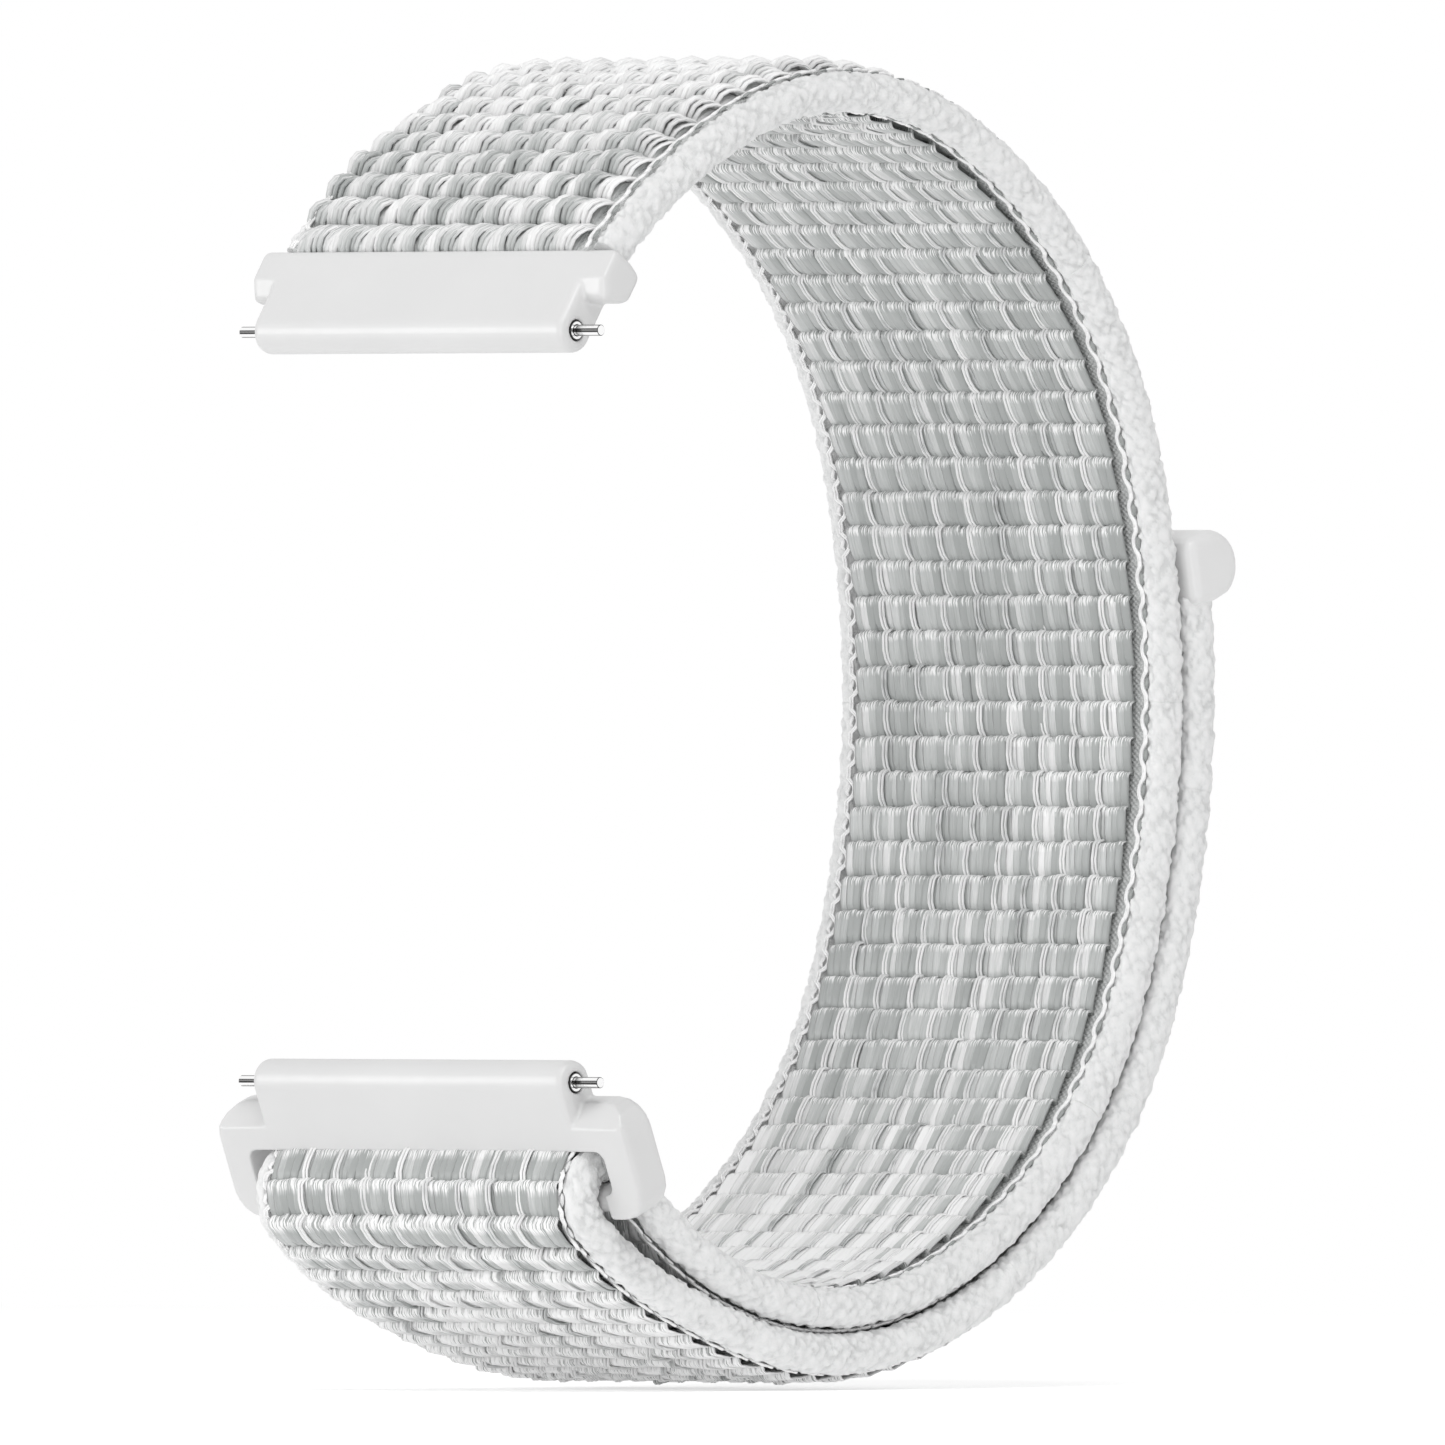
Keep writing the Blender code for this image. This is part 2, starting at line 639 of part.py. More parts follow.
def build():
    clear_scene()
    upper_centre = (0.0, 0.0, 0.0)

    stations = {}
    start = BAND_START
    heading = math.radians(BAND_START_HEADING)
    for name, arc in BAND_ARCS.items():
        stations[name] = walk(start, heading, [arc])
        x, z, heading = stations[name][-1]
        start = (x, z)
    stations["fold"] = walk(start, heading, [FOLD_ARC])
    x, z, heading = stations["fold"][0]
    fold_centre = Vector((x - FOLD_ARC[0] * math.sin(heading), 0.0, z + FOLD_ARC[0] * math.cos(heading)))
    x, z, heading = stations["fold"][-1]
    stations["tail_root"] = walk((x, z), heading, TAIL_ROOT_ARCS)
    x, z, heading = stations["tail_root"][-1]
    turn_radius, turn_sweep = BAND_ARCS["turn"]
    half_turn = (turn_radius + LAYER_SPACING, -turn_sweep / 2.0)
    stations["tail_lower"] = walk((x, z), heading, [half_turn])
    x, z, heading = stations["tail_lower"][-1]
    stations["tail_middle"] = walk((x, z), heading, [half_turn])
    x, z, heading = stations["tail_middle"][-1]
    side_radius = BAND_ARCS["side"][0] + LAYER_SPACING
    stations["tail_tip"] = walk((x, z), heading, [(side_radius, TAIL_SIDE_SWEEP)])

    exit_station = stations["upper"][0]
    band_pivots = {
        "upper": hinge_point(exit_station, 1),
        "crown": hinge_point(stations["crown"][0], 1),
        "shoulder": hinge_point(stations["shoulder"][0], 1),
        "side": hinge_point(stations["side"][0], 1),
    }
    tail_pivots = {}
    for name in ("tail_lower", "tail_middle", "tail_tip"):
        tail_pivots[name] = hinge_point(stations[name][0], -1)
    closure_pivot = band_pivots["side"]

    make_upper_adapter(upper_centre, exit_station)
    make_fixed_web_end(exit_station, upper_centre)
    make_spring_bar("upper", upper_centre)

    band_length("upper", stations["upper"], band_pivots["upper"], first_cut=BAND_EXIT_GAP)
    for name in ("crown", "shoulder", "side"):
        band_length(name, stations[name], band_pivots[name])
    for name in ("turn", "base", "fold", "tail_root"):
        band_length(name, stations[name], closure_pivot)
    for name in ("tail_lower", "tail_middle"):
        band_length(name, stations[name], tail_pivots[name])
    make_tail_tip(stations["tail_tip"], tail_pivots["tail_tip"])
    make_tab(stations["tail_tip"][-1], tail_pivots["tail_tip"])
    tab_cut = TAB_MIDDLE + TAB_RADIUS + 2.0 * PATCH_END_GAP
    make_hook_patch(
        "hook_patch_lower", stations["tail_middle"], PATCH_START, PATCH_END_GAP, tail_pivots["tail_middle"])
    make_hook_patch(
        "hook_patch_upper", stations["tail_tip"], PATCH_END_GAP, tab_cut, tail_pivots["tail_tip"])

    along, _ = lean_axes(LOWER_LEAN, -1)
    lower_centre = fold_centre - along * BAR_DISTANCE
    make_lower_adapter(tuple(lower_centre), tuple(fold_centre))
    make_spring_bar("lower", tuple(lower_centre))

    print("Lower spring bar at", [round(value, 3) for value in lower_centre])
    print("Fold centre at", [round(value, 3) for value in fold_centre])
    for name, pivot in {**band_pivots, **tail_pivots}.items():
        print("Bend of", name, "at", [round(value, 3) for value in pivot])


build()
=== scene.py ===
"""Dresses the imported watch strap: woven rows, braided edge cords, soft mouldings and spring bars."""
import math

import bmesh
import bpy
from mathutils import Matrix, Vector


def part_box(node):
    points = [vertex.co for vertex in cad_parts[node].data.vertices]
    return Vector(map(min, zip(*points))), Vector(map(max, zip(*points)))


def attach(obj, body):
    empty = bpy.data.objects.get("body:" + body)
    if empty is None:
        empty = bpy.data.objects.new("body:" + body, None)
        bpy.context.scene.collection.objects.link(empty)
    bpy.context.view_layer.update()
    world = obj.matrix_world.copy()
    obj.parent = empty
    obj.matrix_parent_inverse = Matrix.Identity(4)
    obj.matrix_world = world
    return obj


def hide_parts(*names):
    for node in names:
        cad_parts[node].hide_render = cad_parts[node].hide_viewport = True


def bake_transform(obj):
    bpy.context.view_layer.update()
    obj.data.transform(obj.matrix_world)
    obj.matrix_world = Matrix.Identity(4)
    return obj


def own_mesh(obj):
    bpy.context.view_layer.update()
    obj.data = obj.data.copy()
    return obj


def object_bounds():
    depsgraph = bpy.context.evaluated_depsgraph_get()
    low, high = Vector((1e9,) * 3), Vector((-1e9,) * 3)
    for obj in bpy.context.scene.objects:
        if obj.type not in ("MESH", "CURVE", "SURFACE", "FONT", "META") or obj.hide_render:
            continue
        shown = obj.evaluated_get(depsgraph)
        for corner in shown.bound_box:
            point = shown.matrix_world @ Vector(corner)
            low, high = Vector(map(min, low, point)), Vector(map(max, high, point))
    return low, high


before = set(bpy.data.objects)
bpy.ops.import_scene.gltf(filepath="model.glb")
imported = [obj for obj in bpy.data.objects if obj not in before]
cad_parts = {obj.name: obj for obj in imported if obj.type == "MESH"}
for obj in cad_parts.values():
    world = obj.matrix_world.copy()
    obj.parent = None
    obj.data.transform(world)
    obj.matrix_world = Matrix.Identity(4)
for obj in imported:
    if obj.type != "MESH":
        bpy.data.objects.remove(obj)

cad_low, cad_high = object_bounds()

# Every length below is in millimetres. A finished mesh is turned into metres by its last step.
MM = 0.001

# The band's middle line, from the upper adapter over the crown, down the side, round the fold
# and up the tail. Each arc is a name, a radius and the angle that it turns by, in degrees, to
# the left of travel where positive.
BAND_START = (2.18, 3.40)
START_HEADING = 44.7
LAYER_SPACING = 2.2
SIDE_RADIUS = 41.1
TURN_RADIUS = 23.5
ROUTE = [
    ("upper", 30.3, -22.3),
    ("crown", 18.2, -49.5),
    ("shoulder", 24.4, -47.9),
    ("side", SIDE_RADIUS, -33.5),
    ("turn", TURN_RADIUS, -53.8),
    ("base", 19.25, -66.1),
    ("fold", 1.8, 188.8),
    ("tail_root", 21.44, 17.1),
    ("tail_root", 48.24, 7.4),
    ("tail_root", 21.41, 32.7),
    ("tail_lower", TURN_RADIUS + LAYER_SPACING, 26.9),
    ("tail_middle", TURN_RADIUS + LAYER_SPACING, 26.9),
    ("tail_tip", SIDE_RADIUS + LAYER_SPACING, 28.5),
]
WEB_END_DEPTH = 1.9
WEB_END_HEADING = 56.0

# Rows along the band
ROW_PITCH = 1.7
CLOSE_ROW_SHARE = 0.66
CLOSE_ROWS_EARLIER = 0.5
FIRST_ROW = 0.55
TAB_GRIP = 3.6
TAB_POCKET_END = 1.7
COLUMN_WIDTH = 2.0

# Ground cloth and row cores
GROUND_HALF = 0.6
GROUND_HALF_WIDTH = 9.3
STRIP_STEP = 0.8
STRIP_CHAMFER = 0.12
CORE_HALF_WIDTH = 8.25
CORE_TAPER = 0.9

# Threads across the flat face and the puffed face
THREAD_SEAT = 0.4
FLAT_THREADS = 44
FLAT_SPACING = 0.395
FLAT_SHIFT = 0.2
PUFFED_THREADS = 68
PUFFED_SPACING = 0.262
PUFFED_SHIFT = 0.44
TAIL_WIDENING = 0.075

# How far the threads stand out. The tail starts just after the fold does, and it covers the
# puffed face from a station on.
TAIL_FROM = 1.0
COVERED_FROM = 50.0
FLAT_RISE = 0.6
FLAT_RISE_TAIL = 0.8
FLAT_RISE_UNDER_PLATE = 0.38
UNDER_PLATE_BEFORE = 2.5
UNDER_PLATE_AFTER = 2.7
IN_SLOT_LENGTH = 4.5
PUFFED_RISE = 1.02
PUFFED_RISE_AT_EXIT = 0.8
PUFFED_RISE_COVERED = 0.5
EXIT_SPAN = (FIRST_ROW, FIRST_ROW + 2.0)

# How light the threads are. Each face's first level is its yarn's own tone, and the changes along the
# band are painted light and shade: the flat face is painted lighter on the base, which faces up,
# darker at the fold and lighter along the tail as a painted sheen, and the puffed face is painted
# darker by the upper adapter and lighter over the top. A span holds the two stations between which a
# tone changes.
FLAT_TONE = 0.1
FLAT_TONE_BASE = 1.1
BASE_SPAN = (76.0, 94.0)
FLAT_TONE_FOLD = 0.14
FLAT_TONE_TAIL = 1.0
TAIL_SPAN = (IN_SLOT_LENGTH, 13.0)
PUFFED_TONE_AT_EXIT = 0.55
PUFFED_TONE = 1.3
PUFFED_SPAN = (6.0, 24.0)
PUFFED_TONE_COVERED = 0.5
# Each thread's painted light and shade along its length, highlight where positive and shade where
# negative, all scaled by the gleam.
GLEAM = 1.25
PUFFED_PAINTED_LIGHT = [-0.2, -0.12, -0.02, 0.08, 0.2, 0.2, 0.0]
FLAT_PAINTED_LIGHT = [0.1, 0.7, 0.9, 0.3, 0.0, 0.0, -0.03, -0.12, -0.24]

# Edge cords
CORD_CENTRE = 9.75
CORD_HALF_WIDTH = 0.7
CORD_HALF_THICKNESS = 0.95
CORD_START = 0.1
CORD_INTO_TAB = 0.45
CORD_TUCK = 0.1
CORD_STEP = 0.12
CORD_AROUND = 44
# Painted light: the far cord's braid is painted lighter as a whole.
FAR_CORD_PAINTED_LIGHT = 0.25

# Edge stitches
STITCH_CENTRE = 9.45
STITCH_SEAT = 0.64
STITCH_SEAT_PUFFED = 0.76
# The stitch tones set the stitch threads' colour and, with it, how dark the painted shadow in each
# stitch's gap shows: lighter on the tail, where the puffed face is covered, and on the far side.
STITCH_TONE = 0.9
STITCH_TONE_TAIL = 1.5
STITCH_TONE_COVERED = 2.0
FAR_STITCH_TONE = 1.1

# Mouldings
MOULDING_VOXEL = 0.08
MOULDING_SMOOTHING = 3
MOULDING_FACE_SHARE = 0.4
MERGE_DISTANCE = 0.002
UPPER_LEAN = 34.0
LOWER_LEAN = -22.5
PLATE_HALF_DEPTH = 1.05
BARREL_BORE = 0.51
BARREL_BORE_REACH = 0.7

# Spring bars: each centre's X and Z, then the pieces round it
UPPER_BAR = (0.0, 0.0)
LOWER_BAR = (-0.052, -35.042)
TURNED_STEPS = 48
TUBE_HALF_LENGTH = 9.87
TUBE_RADIUS = 0.46
TUBE_BORE = 0.40
TUBE_MOUTH = 0.29
TUBE_CRIMP = 0.35
TUBE_EDGE = 0.02
TUBE_RIM = 0.05
# From this radius out, the tube is painted black as the shadow of the gap round it.
TUBE_SHADOW_FROM = 0.42
SHANK_RADIUS = 0.36
SHANK_GAP = 0.03
TIP_RADIUS = 0.26
TIP_CHAMFER_LENGTH = 0.025
TIP_CHAMFER_DEPTH = 0.03
SPRING_RADIUS = 0.29
SPRING_WIRE_RADIUS = 0.05
SPRING_WIRE_SIDES = 6
SPRING_TURNS = 12
SPRING_STEPS = 16

# Hook strip, between a place past the middle tail's start and one past the tail tip's
HOOKS_FROM = 1.2
HOOKS_TO = 17.0
HOOK_PITCH = 0.8
HOOKS_ACROSS = 19
HOOK_SPACING = 0.76
HOOK_SEAT = 0.8
HOOK_STRIP_LOW = 0.5
HOOK_STRIP_HIGH = 0.86
HOOK_STRIP_HALF_WIDTH = 7.5

# Camera
AIM = (20.8, 0.0, -18.27)
CAMERA_AZIMUTH = -47.5
PICTURE_WIDTH = 67.84
CAMERA_LENS = 1500.0
SENSOR_WIDTH = 36.0

# Studio, in metres and watts: each lamp's name, place, size and power
WHITE = (1.0, 1.0, 1.0, 1.0)
FLOOR_REACH = 0.3
FLOOR_GAP = 0.0002
WORLD_LIGHT = 0.56
LAMPS = [
    ("top_light", (-0.16, -0.16, 0.35), 0.3, 0.68),
    ("left_light", (-0.42, -0.22, -0.06), 0.2, 0.4),
    ("gloss_light", (-0.34, 0.3, 0.01), 0.2, 0.42),
]


# Route

def walk_route():
    """The arcs with the station, place and heading that each one starts from."""
    x, z = BAND_START
    heading = math.radians(START_HEADING)
    station = 0.0
    arcs = []
    for name, radius, sweep in ROUTE:
        turn = math.radians(sweep)
        arc = (name, station, radius * abs(turn), x, z, heading, turn)
        arcs.append(arc)
        x, z = arc_place(arc, 1.0)
        heading += turn
        station += arc[2]
    return arcs, station


def arc_place(arc, share):
    """The x and z of the point that lies a share of the way along an arc."""
    _, _, length, x, z, heading, turn = arc
    middle = heading + turn * share / 2.0
    chord = 2.0 * length / abs(turn) * math.sin(abs(turn * share) / 2.0)
    return x + chord * math.cos(middle), z + chord * math.sin(middle)


ARCS, ROUTE_LENGTH = walk_route()


def arc_start(name):
    """The station at which a length of the band starts."""
    return next(arc[1] for arc in ARCS if arc[0] == name)


def station_at(distance):
    """Place, direction of travel and outward direction at a distance along the middle line."""
    arc = [candidate for candidate in ARCS if distance >= candidate[1] or candidate is ARCS[0]][-1]
    _, start, length, _, _, heading, turn = arc
    along = distance - start
    share = min(1.0, max(0.0, along / length))
    here = heading + turn * share
    x, z = arc_place(arc, share)
    overrun = along - length * share
    if along < 0.0:
        here = math.radians(WEB_END_HEADING)
    travel = Vector((math.cos(here), 0.0, math.sin(here)))
    outward = Vector((-math.sin(here), 0.0, math.cos(here)))
    return Vector((x, 0.0, z)) + travel * overrun, travel, outward


def place_at(distance):
    """A point of the middle line, in metres."""
    return station_at(distance)[0] * MM


# Meshes

def new_object(name, data):
    """A new object in the scene's own collection."""
    item = bpy.data.objects.new(name, data)
    bpy.context.scene.collection.objects.link(item)
    return item


def mesh_of(name, work):
    """The mesh that a bmesh holds. The bmesh is freed."""
    mesh = bpy.data.meshes.new(name)
    work.to_mesh(mesh)
    work.free()
    return mesh


def evaluated_mesh(item):
    """The mesh that an object's modifiers make. The object is removed."""
    depsgraph = bpy.context.evaluated_depsgraph_get()
    made = bpy.data.meshes.new_from_object(item.evaluated_get(depsgraph), depsgraph=depsgraph)
    item.modifiers.clear()
    bpy.data.objects.remove(item)
    return made


def shade(mesh, smooth):
    """Shades every face of a mesh smooth or flat."""
    mesh.polygons.foreach_set("use_smooth", [smooth] * len(mesh.polygons))


def lofted(name, rings, smooth=True):
    """A closed mesh through a row of rings with the same number of points, faces outwards."""
    count = len(rings[0])
    faces = [list(range(count)), [len(rings) * count - 1 - i for i in range(count)]]
    for base in range(0, (len(rings) - 1) * count, count):
        for i in range(count):
            j = (i + 1) % count
            faces.append((base + i, base + j, base + count + j, base + count + i))
    mesh = bpy.data.meshes.new(name)
    mesh.from_pydata([tuple(point) for ring in rings for point in ring], [], faces)
    work = bmesh.new()
    work.from_mesh(mesh)
    bpy.data.meshes.remove(mesh)
    bmesh.ops.recalc_face_normals(work, faces=work.faces)
    mesh = mesh_of(name, work)
    shade(mesh, smooth)
    return mesh


def store(mesh, name, values, kind="FLOAT_VECTOR"):
    """Keeps a value for each point of the mesh under a name that materials and trees read."""
    attribute = mesh.attributes.new(name, kind, "POINT")
    key = "vector" if kind == "FLOAT_VECTOR" else "value"
    for item, value in zip(attribute.data, values):
        setattr(item, key, value)


def strand_mesh(name, line, half_width, half_height, sides=6, end_share=0.55, painted_light=None):
    """A thread along a line, thinner at both ends. It stores its length, girth and painted light and
    shade.
    """
    rings, fibre = [], []
    last = len(line) - 1
    run = 0.0
    for index, point in enumerate(line):
        here = Vector(point)
        before = Vector(line[max(index - 1, 0)])
        after = Vector(line[min(index + 1, last)])
        direction = (after - before).normalized()
        sideways = Vector((0.0, 0.0, 1.0)).cross(direction).normalized()
        upwards = direction.cross(sideways)
        thin = end_share + (1.0 - end_share) * math.sin(math.pi * index / last) ** 0.5
        run += (here - before).length
        ring = []
        for side in range(sides):
            angle = 2.0 * math.pi * (side + 0.5 - 0.25 * sides) / sides
            ring.append(here + sideways * (half_width * thin * math.cos(angle))
                        + upwards * (half_height * thin * math.sin(angle)))
            # The third value is painted light: a painted highlight where positive, painted shade where
            # negative.
            fibre.append((run, angle * half_width, painted_light[index] if painted_light else 0.0))
        rings.append(ring)
    mesh = lofted(name, rings)
    store(mesh, "fibre", fibre)
    return mesh


def together(name, parts):
    """Several meshes made one."""
    work = bmesh.new()
    for part in parts:
        work.from_mesh(part)
        bpy.data.meshes.remove(part)
    return mesh_of(name, work)


def finished(name, mesh):
    """A finished piece: its mesh goes from millimetres to metres and its object is at the origin."""
    mesh.transform(Matrix.Scale(MM, 4))
    piece = new_object(name, mesh)
    return piece


# Node trees

def socket_named(sockets, key):
    """A socket by its position, identifier or name."""
    if isinstance(key, int):
        return sockets[key]
    for socket in sockets:
        if socket.identifier == key:
            return socket
    return sockets[key]


class Value:
    """What a node puts out. Arithmetic on it adds the Math nodes that work it out."""

    def __init__(self, tree, socket):
        self.tree = tree
        self.socket = socket

    def __add__(self, other):
        return self.tree.math("ADD", self, other)

    def __mul__(self, other):
        return self.tree.math("MULTIPLY", self, other)

    def __sub__(self, other):
        return self.tree.math("SUBTRACT", self, other)

    def __rsub__(self, other):
        return self.tree.math("SUBTRACT", other, self)

    def __truediv__(self, other):
        return self.tree.math("DIVIDE", self, other)

    __radd__ = __add__
    __rmul__ = __mul__


class Outputs:
    """A node's outputs, by position or name, each as a Value."""

    def __init__(self, tree, sockets):
        self.tree = tree
        self.sockets = sockets

    def __getitem__(self, key):
        return Value(self.tree, socket_named(self.sockets, key))


class Tree:
    """A node tree with short ways to add nodes and wire them."""

    def __init__(self, tree):
        self.tree = tree

    def node(self, kind, inputs=None, **settings):
        """A new node with its settings, and with its inputs wired or set."""
        node = self.tree.nodes.new(kind)
        for name, value in settings.items():
            setattr(node, name, value)
        for key, value in (inputs or {}).items():
            self.wire(value, socket_named(node.inputs, key))
        return node

    def add(self, kind, inputs=None, **settings):
        """The outputs of a new node."""
        return Outputs(self, self.node(kind, inputs, **settings).outputs)

    def wire(self, value, socket):
        """Links a value to an input, or sets the input's own number."""
        if isinstance(value, Value):
            self.tree.links.new(value.socket, socket)
        else:
            socket.default_value = value

    def math(self, operation, *inputs):
        return self.add("ShaderNodeMath", dict(enumerate(inputs)), operation=operation)[0]

    def moved(self, vector, shift):
        return self.add("ShaderNodeVectorMath", {0: vector, 1: shift}, operation="ADD")[0]

    def scaled(self, vector, factor):
        keys = {0: vector, "Scale": factor}
        return self.add("ShaderNodeVectorMath", keys, operation="SCALE")[0]

    def combine(self, x=0.0, y=0.0, z=0.0):
        return self.add("ShaderNodeCombineXYZ", {0: x, 1: y, 2: z})[0]

    def split(self, vector):
        return self.add("ShaderNodeSeparateXYZ", {0: vector})

    def noise(self, vector, scale=1.0, detail=2.0, roughness=0.5):
        keys = {"Vector": vector, "Scale": scale, "Detail": detail, "Roughness": roughness}
        return self.add("ShaderNodeTexNoise", keys)

    def bump(self, height, strength, distance):
        keys = {"Strength": strength, "Distance": distance, "Height": height}
        return self.add("ShaderNodeBump", keys)[0]

    def group(self, group, inputs):
        """The outputs of a node group placed in this tree."""
        kind = self.tree.bl_idname.replace("Tree", "Group")
        return self.add(kind, inputs, node_tree=group)


class Group(Tree):
    """A node group. Each input has a title and its own number, or the kind of what it holds."""

    def __init__(self, kind, name, inputs, outputs):
        super().__init__(bpy.data.node_groups.new(name, kind))
        for direction, entries in (("OUTPUT", outputs), ("INPUT", inputs)):
            for title, value in entries.items():
                holds = value if isinstance(value, str) else type(value).__name__.title()
                socket = self.tree.interface.new_socket(
                    title, in_out=direction, socket_type="NodeSocket" + holds)
                if holds != value:
                    socket.default_value = value
        self.given = Outputs(self, self.tree.nodes.new("NodeGroupInput").outputs)
        self.wanted = self.tree.nodes.new("NodeGroupOutput").inputs

    def finish(self, *results):
        """Wires what the group puts out, in the order of its outputs."""
        for value, socket in zip(results, self.wanted):
            self.wire(value, socket)
        return self.tree


class GeometryTree(Group):
    """A Geometry Nodes tree with named inputs."""

    def __init__(self, name, inputs):
        geometry = {"Geometry": "Geometry"}
        super().__init__("GeometryNodeTree", name, geometry | inputs, geometry)

    def position(self):
        return self.add("GeometryNodeInputPosition")[0]

    def stored(self, name, kind="FLOAT"):
        return self.add("GeometryNodeInputNamedAttribute", {"Name": name}, data_type=kind)[0]

    def store(self, geometry, name, value, kind="FLOAT"):
        keys = {"Geometry": geometry, "Name": name, "Value": value}
        return self.add("GeometryNodeStoreNamedAttribute", keys, data_type=kind)[0]

    def random(self, low, high, seed):
        keys = {"Min_001": low, "Max_001": high, "Seed": seed}
        return self.add("FunctionNodeRandomValue", keys, data_type="FLOAT")["Value_001"]

    def instances(self, points, instance, **keys):
        keys.update(Points=points, Instance=instance)
        return self.add("GeometryNodeInstanceOnPoints", keys)[0]

    def realised(self, geometry):
        return self.add("GeometryNodeRealizeInstances", {"Geometry": geometry})[0]

    def coloured(self, geometry, material):
        return self.add("GeometryNodeSetMaterial", {"Geometry": geometry, "Material": material})[0]

    def shape_of(self, item):
        return self.add("GeometryNodeObjectInfo", {"Object": item})["Geometry"]

    def joined(self, parts):
        node = self.node("GeometryNodeJoinGeometry")
        for part in reversed(parts):
            self.wire(part, node.inputs[0])
        return Value(self, node.outputs[0])


def run_tree(name, mesh, tree, values):
    """Runs a Geometry Nodes tree on a mesh and gives the plain mesh that it makes."""
    item = new_object(name + "_maker", mesh)
    modifier = item.modifiers.new("rows", "NODES")
    modifier.node_group = tree
    for socket in tree.interface.items_tree:
        if socket.in_out == "INPUT" and socket.name in values:
            modifier[socket.identifier] = values[socket.name]
    item.update_tag()
    made = evaluated_mesh(item)
    made.name = name
    bpy.data.meshes.remove(mesh)
    return made


# Materials

def make_fibre_streaks():
    """Fine filaments that run along a thread."""
    tree = Group("ShaderNodeTree", "fibre_streaks", {
        "Fibre": "Vector", "Strand": 0.0, "Filaments": 9.0, "Depth": 0.3},
        {"Streak": "Float", "Normal": "Vector"})
    given = tree.given
    run, girth, _ = tree.split(given["Fibre"])
    place = tree.combine(run * 0.9, girth * given["Filaments"], given["Strand"] * 37.0)
    streak = tree.noise(place, roughness=0.6)[0]
    return tree.finish(streak, tree.bump(streak, given["Depth"], 0.00004))


def make_fine_grain():
    """Fine uneven grain of a moulded or brushed surface, on Object coordinates."""
    tree = Group("ShaderNodeTree", "fine_grain", {"Grain Size": 900.0, "Depth": 0.1},
                 {"Grain": "Float", "Normal": "Vector"})
    place = tree.add("ShaderNodeTexCoord")["Object"]
    grain = tree.noise(place, tree.given["Grain Size"], 3.0, 0.55)[0]
    return tree.finish(grain, tree.bump(grain, tree.given["Depth"], 0.00003))


class Material(Tree):
    """A material with one Principled shader."""

    def __init__(self, name):
        self.material = bpy.data.materials.new(name)
        self.material.use_nodes = True
        super().__init__(self.material.node_tree)
        self.shader = self.tree.nodes["Principled BSDF"].inputs

    def stored(self, name, output="Fac"):
        keys = {"attribute_name": name, "attribute_type": "GEOMETRY"}
        return self.add("ShaderNodeAttribute", **keys)[output]

    def streaks(self, filaments, depth):
        """How light the filament is, and its normal."""
        return self.group(STREAKS, {
            "Fibre": self.stored("fibre", "Vector"), "Strand": self.stored("strand"),
            "Filaments": filaments, "Depth": depth})

    def grain(self, size, depth):
        """The grain and its normal."""
        return self.group(GRAIN, {"Grain Size": size, "Depth": depth})

    def ramp(self, value, *stops):
        """A colour ramp. A stop is a place and a colour, or a place and a grey."""
        node = self.node("ShaderNodeValToRGB", {0: value})
        elements = node.color_ramp.elements
        while len(elements) < len(stops):
            elements.new(0.5)
        for element, (place, *colour) in zip(elements, stops):
            element.position = place
            element.color = (*(colour * 3)[:3], 1.0)
        return Value(self, node.outputs[0])

    def finish(self, **values):
        """Sets or wires the shader's inputs and gives the material."""
        for name, value in values.items():
            self.wire(value, self.shader[name.replace("_", " ")])
        return self.material


STREAKS = make_fibre_streaks()
GRAIN = make_fine_grain()


def make_filament():
    """Glossy filament yarn, white to cool grey by the strand's own tone, with painted highlights and
    painted shade along each thread.
    """
    made = Material("filament_yarn")
    streak, normal = made.streaks(11.0, 0.3)
    run, _, mark = made.split(made.stored("fibre", "Vector"))
    # Painted light: the stored mark, scaled by the gleam, paints highlights with glinting streaks
    # where positive and shade where negative.
    along = mark * made.stored("gleam")
    lighter = made.math("MAXIMUM", along, 0.0)
    darker = made.math("MINIMUM", along, 0.0)

    # Painted highlight and shade: on the tail, a thread is painted light and streaky up to its nose
    # and darker behind it
    slack = made.stored("slack")
    behind = made.math("MINIMUM", made.math("MAXIMUM", run * 2.6 - 2.9, 0.0), 1.0)
    contrast = lighter * 13.0 + (1.0 - behind) * slack * 2.6 + 0.5
    level = made.stored("tone") + lighter * 0.55 + darker + (0.5 - behind) * slack * 0.42
    colour = made.ramp((streak - 0.5) * contrast + level, (0.0, 0.36, 0.375, 0.37),
                       (0.35, 0.53, 0.545, 0.54), (0.6, 0.73), (1.0, 0.94))
    return made.finish(Base_Color=colour, Roughness=streak * 0.25 + 0.22, Normal=normal,
                       Sheen_Weight=0.35, Sheen_Roughness=0.4)


def make_binder():
    """White glossy binding thread. Its stored mark paints the shadow in the edge stitches' gaps dark.
    """
    made = Material("binding_thread")
    streak, normal = made.streaks(8.0, 0.5)
    _, _, mark = made.split(made.stored("fibre", "Vector"))
    colour = made.ramp((streak - 0.5) * 1.2 + made.stored("tone") + mark, (0.0, 0.32, 0.335, 0.33),
                       (0.2, 0.62, 0.63, 0.63), (0.5, 0.84), (0.9, 0.94))
    return made.finish(Base_Color=colour, Roughness=streak * 0.2 + 0.2, Normal=normal)


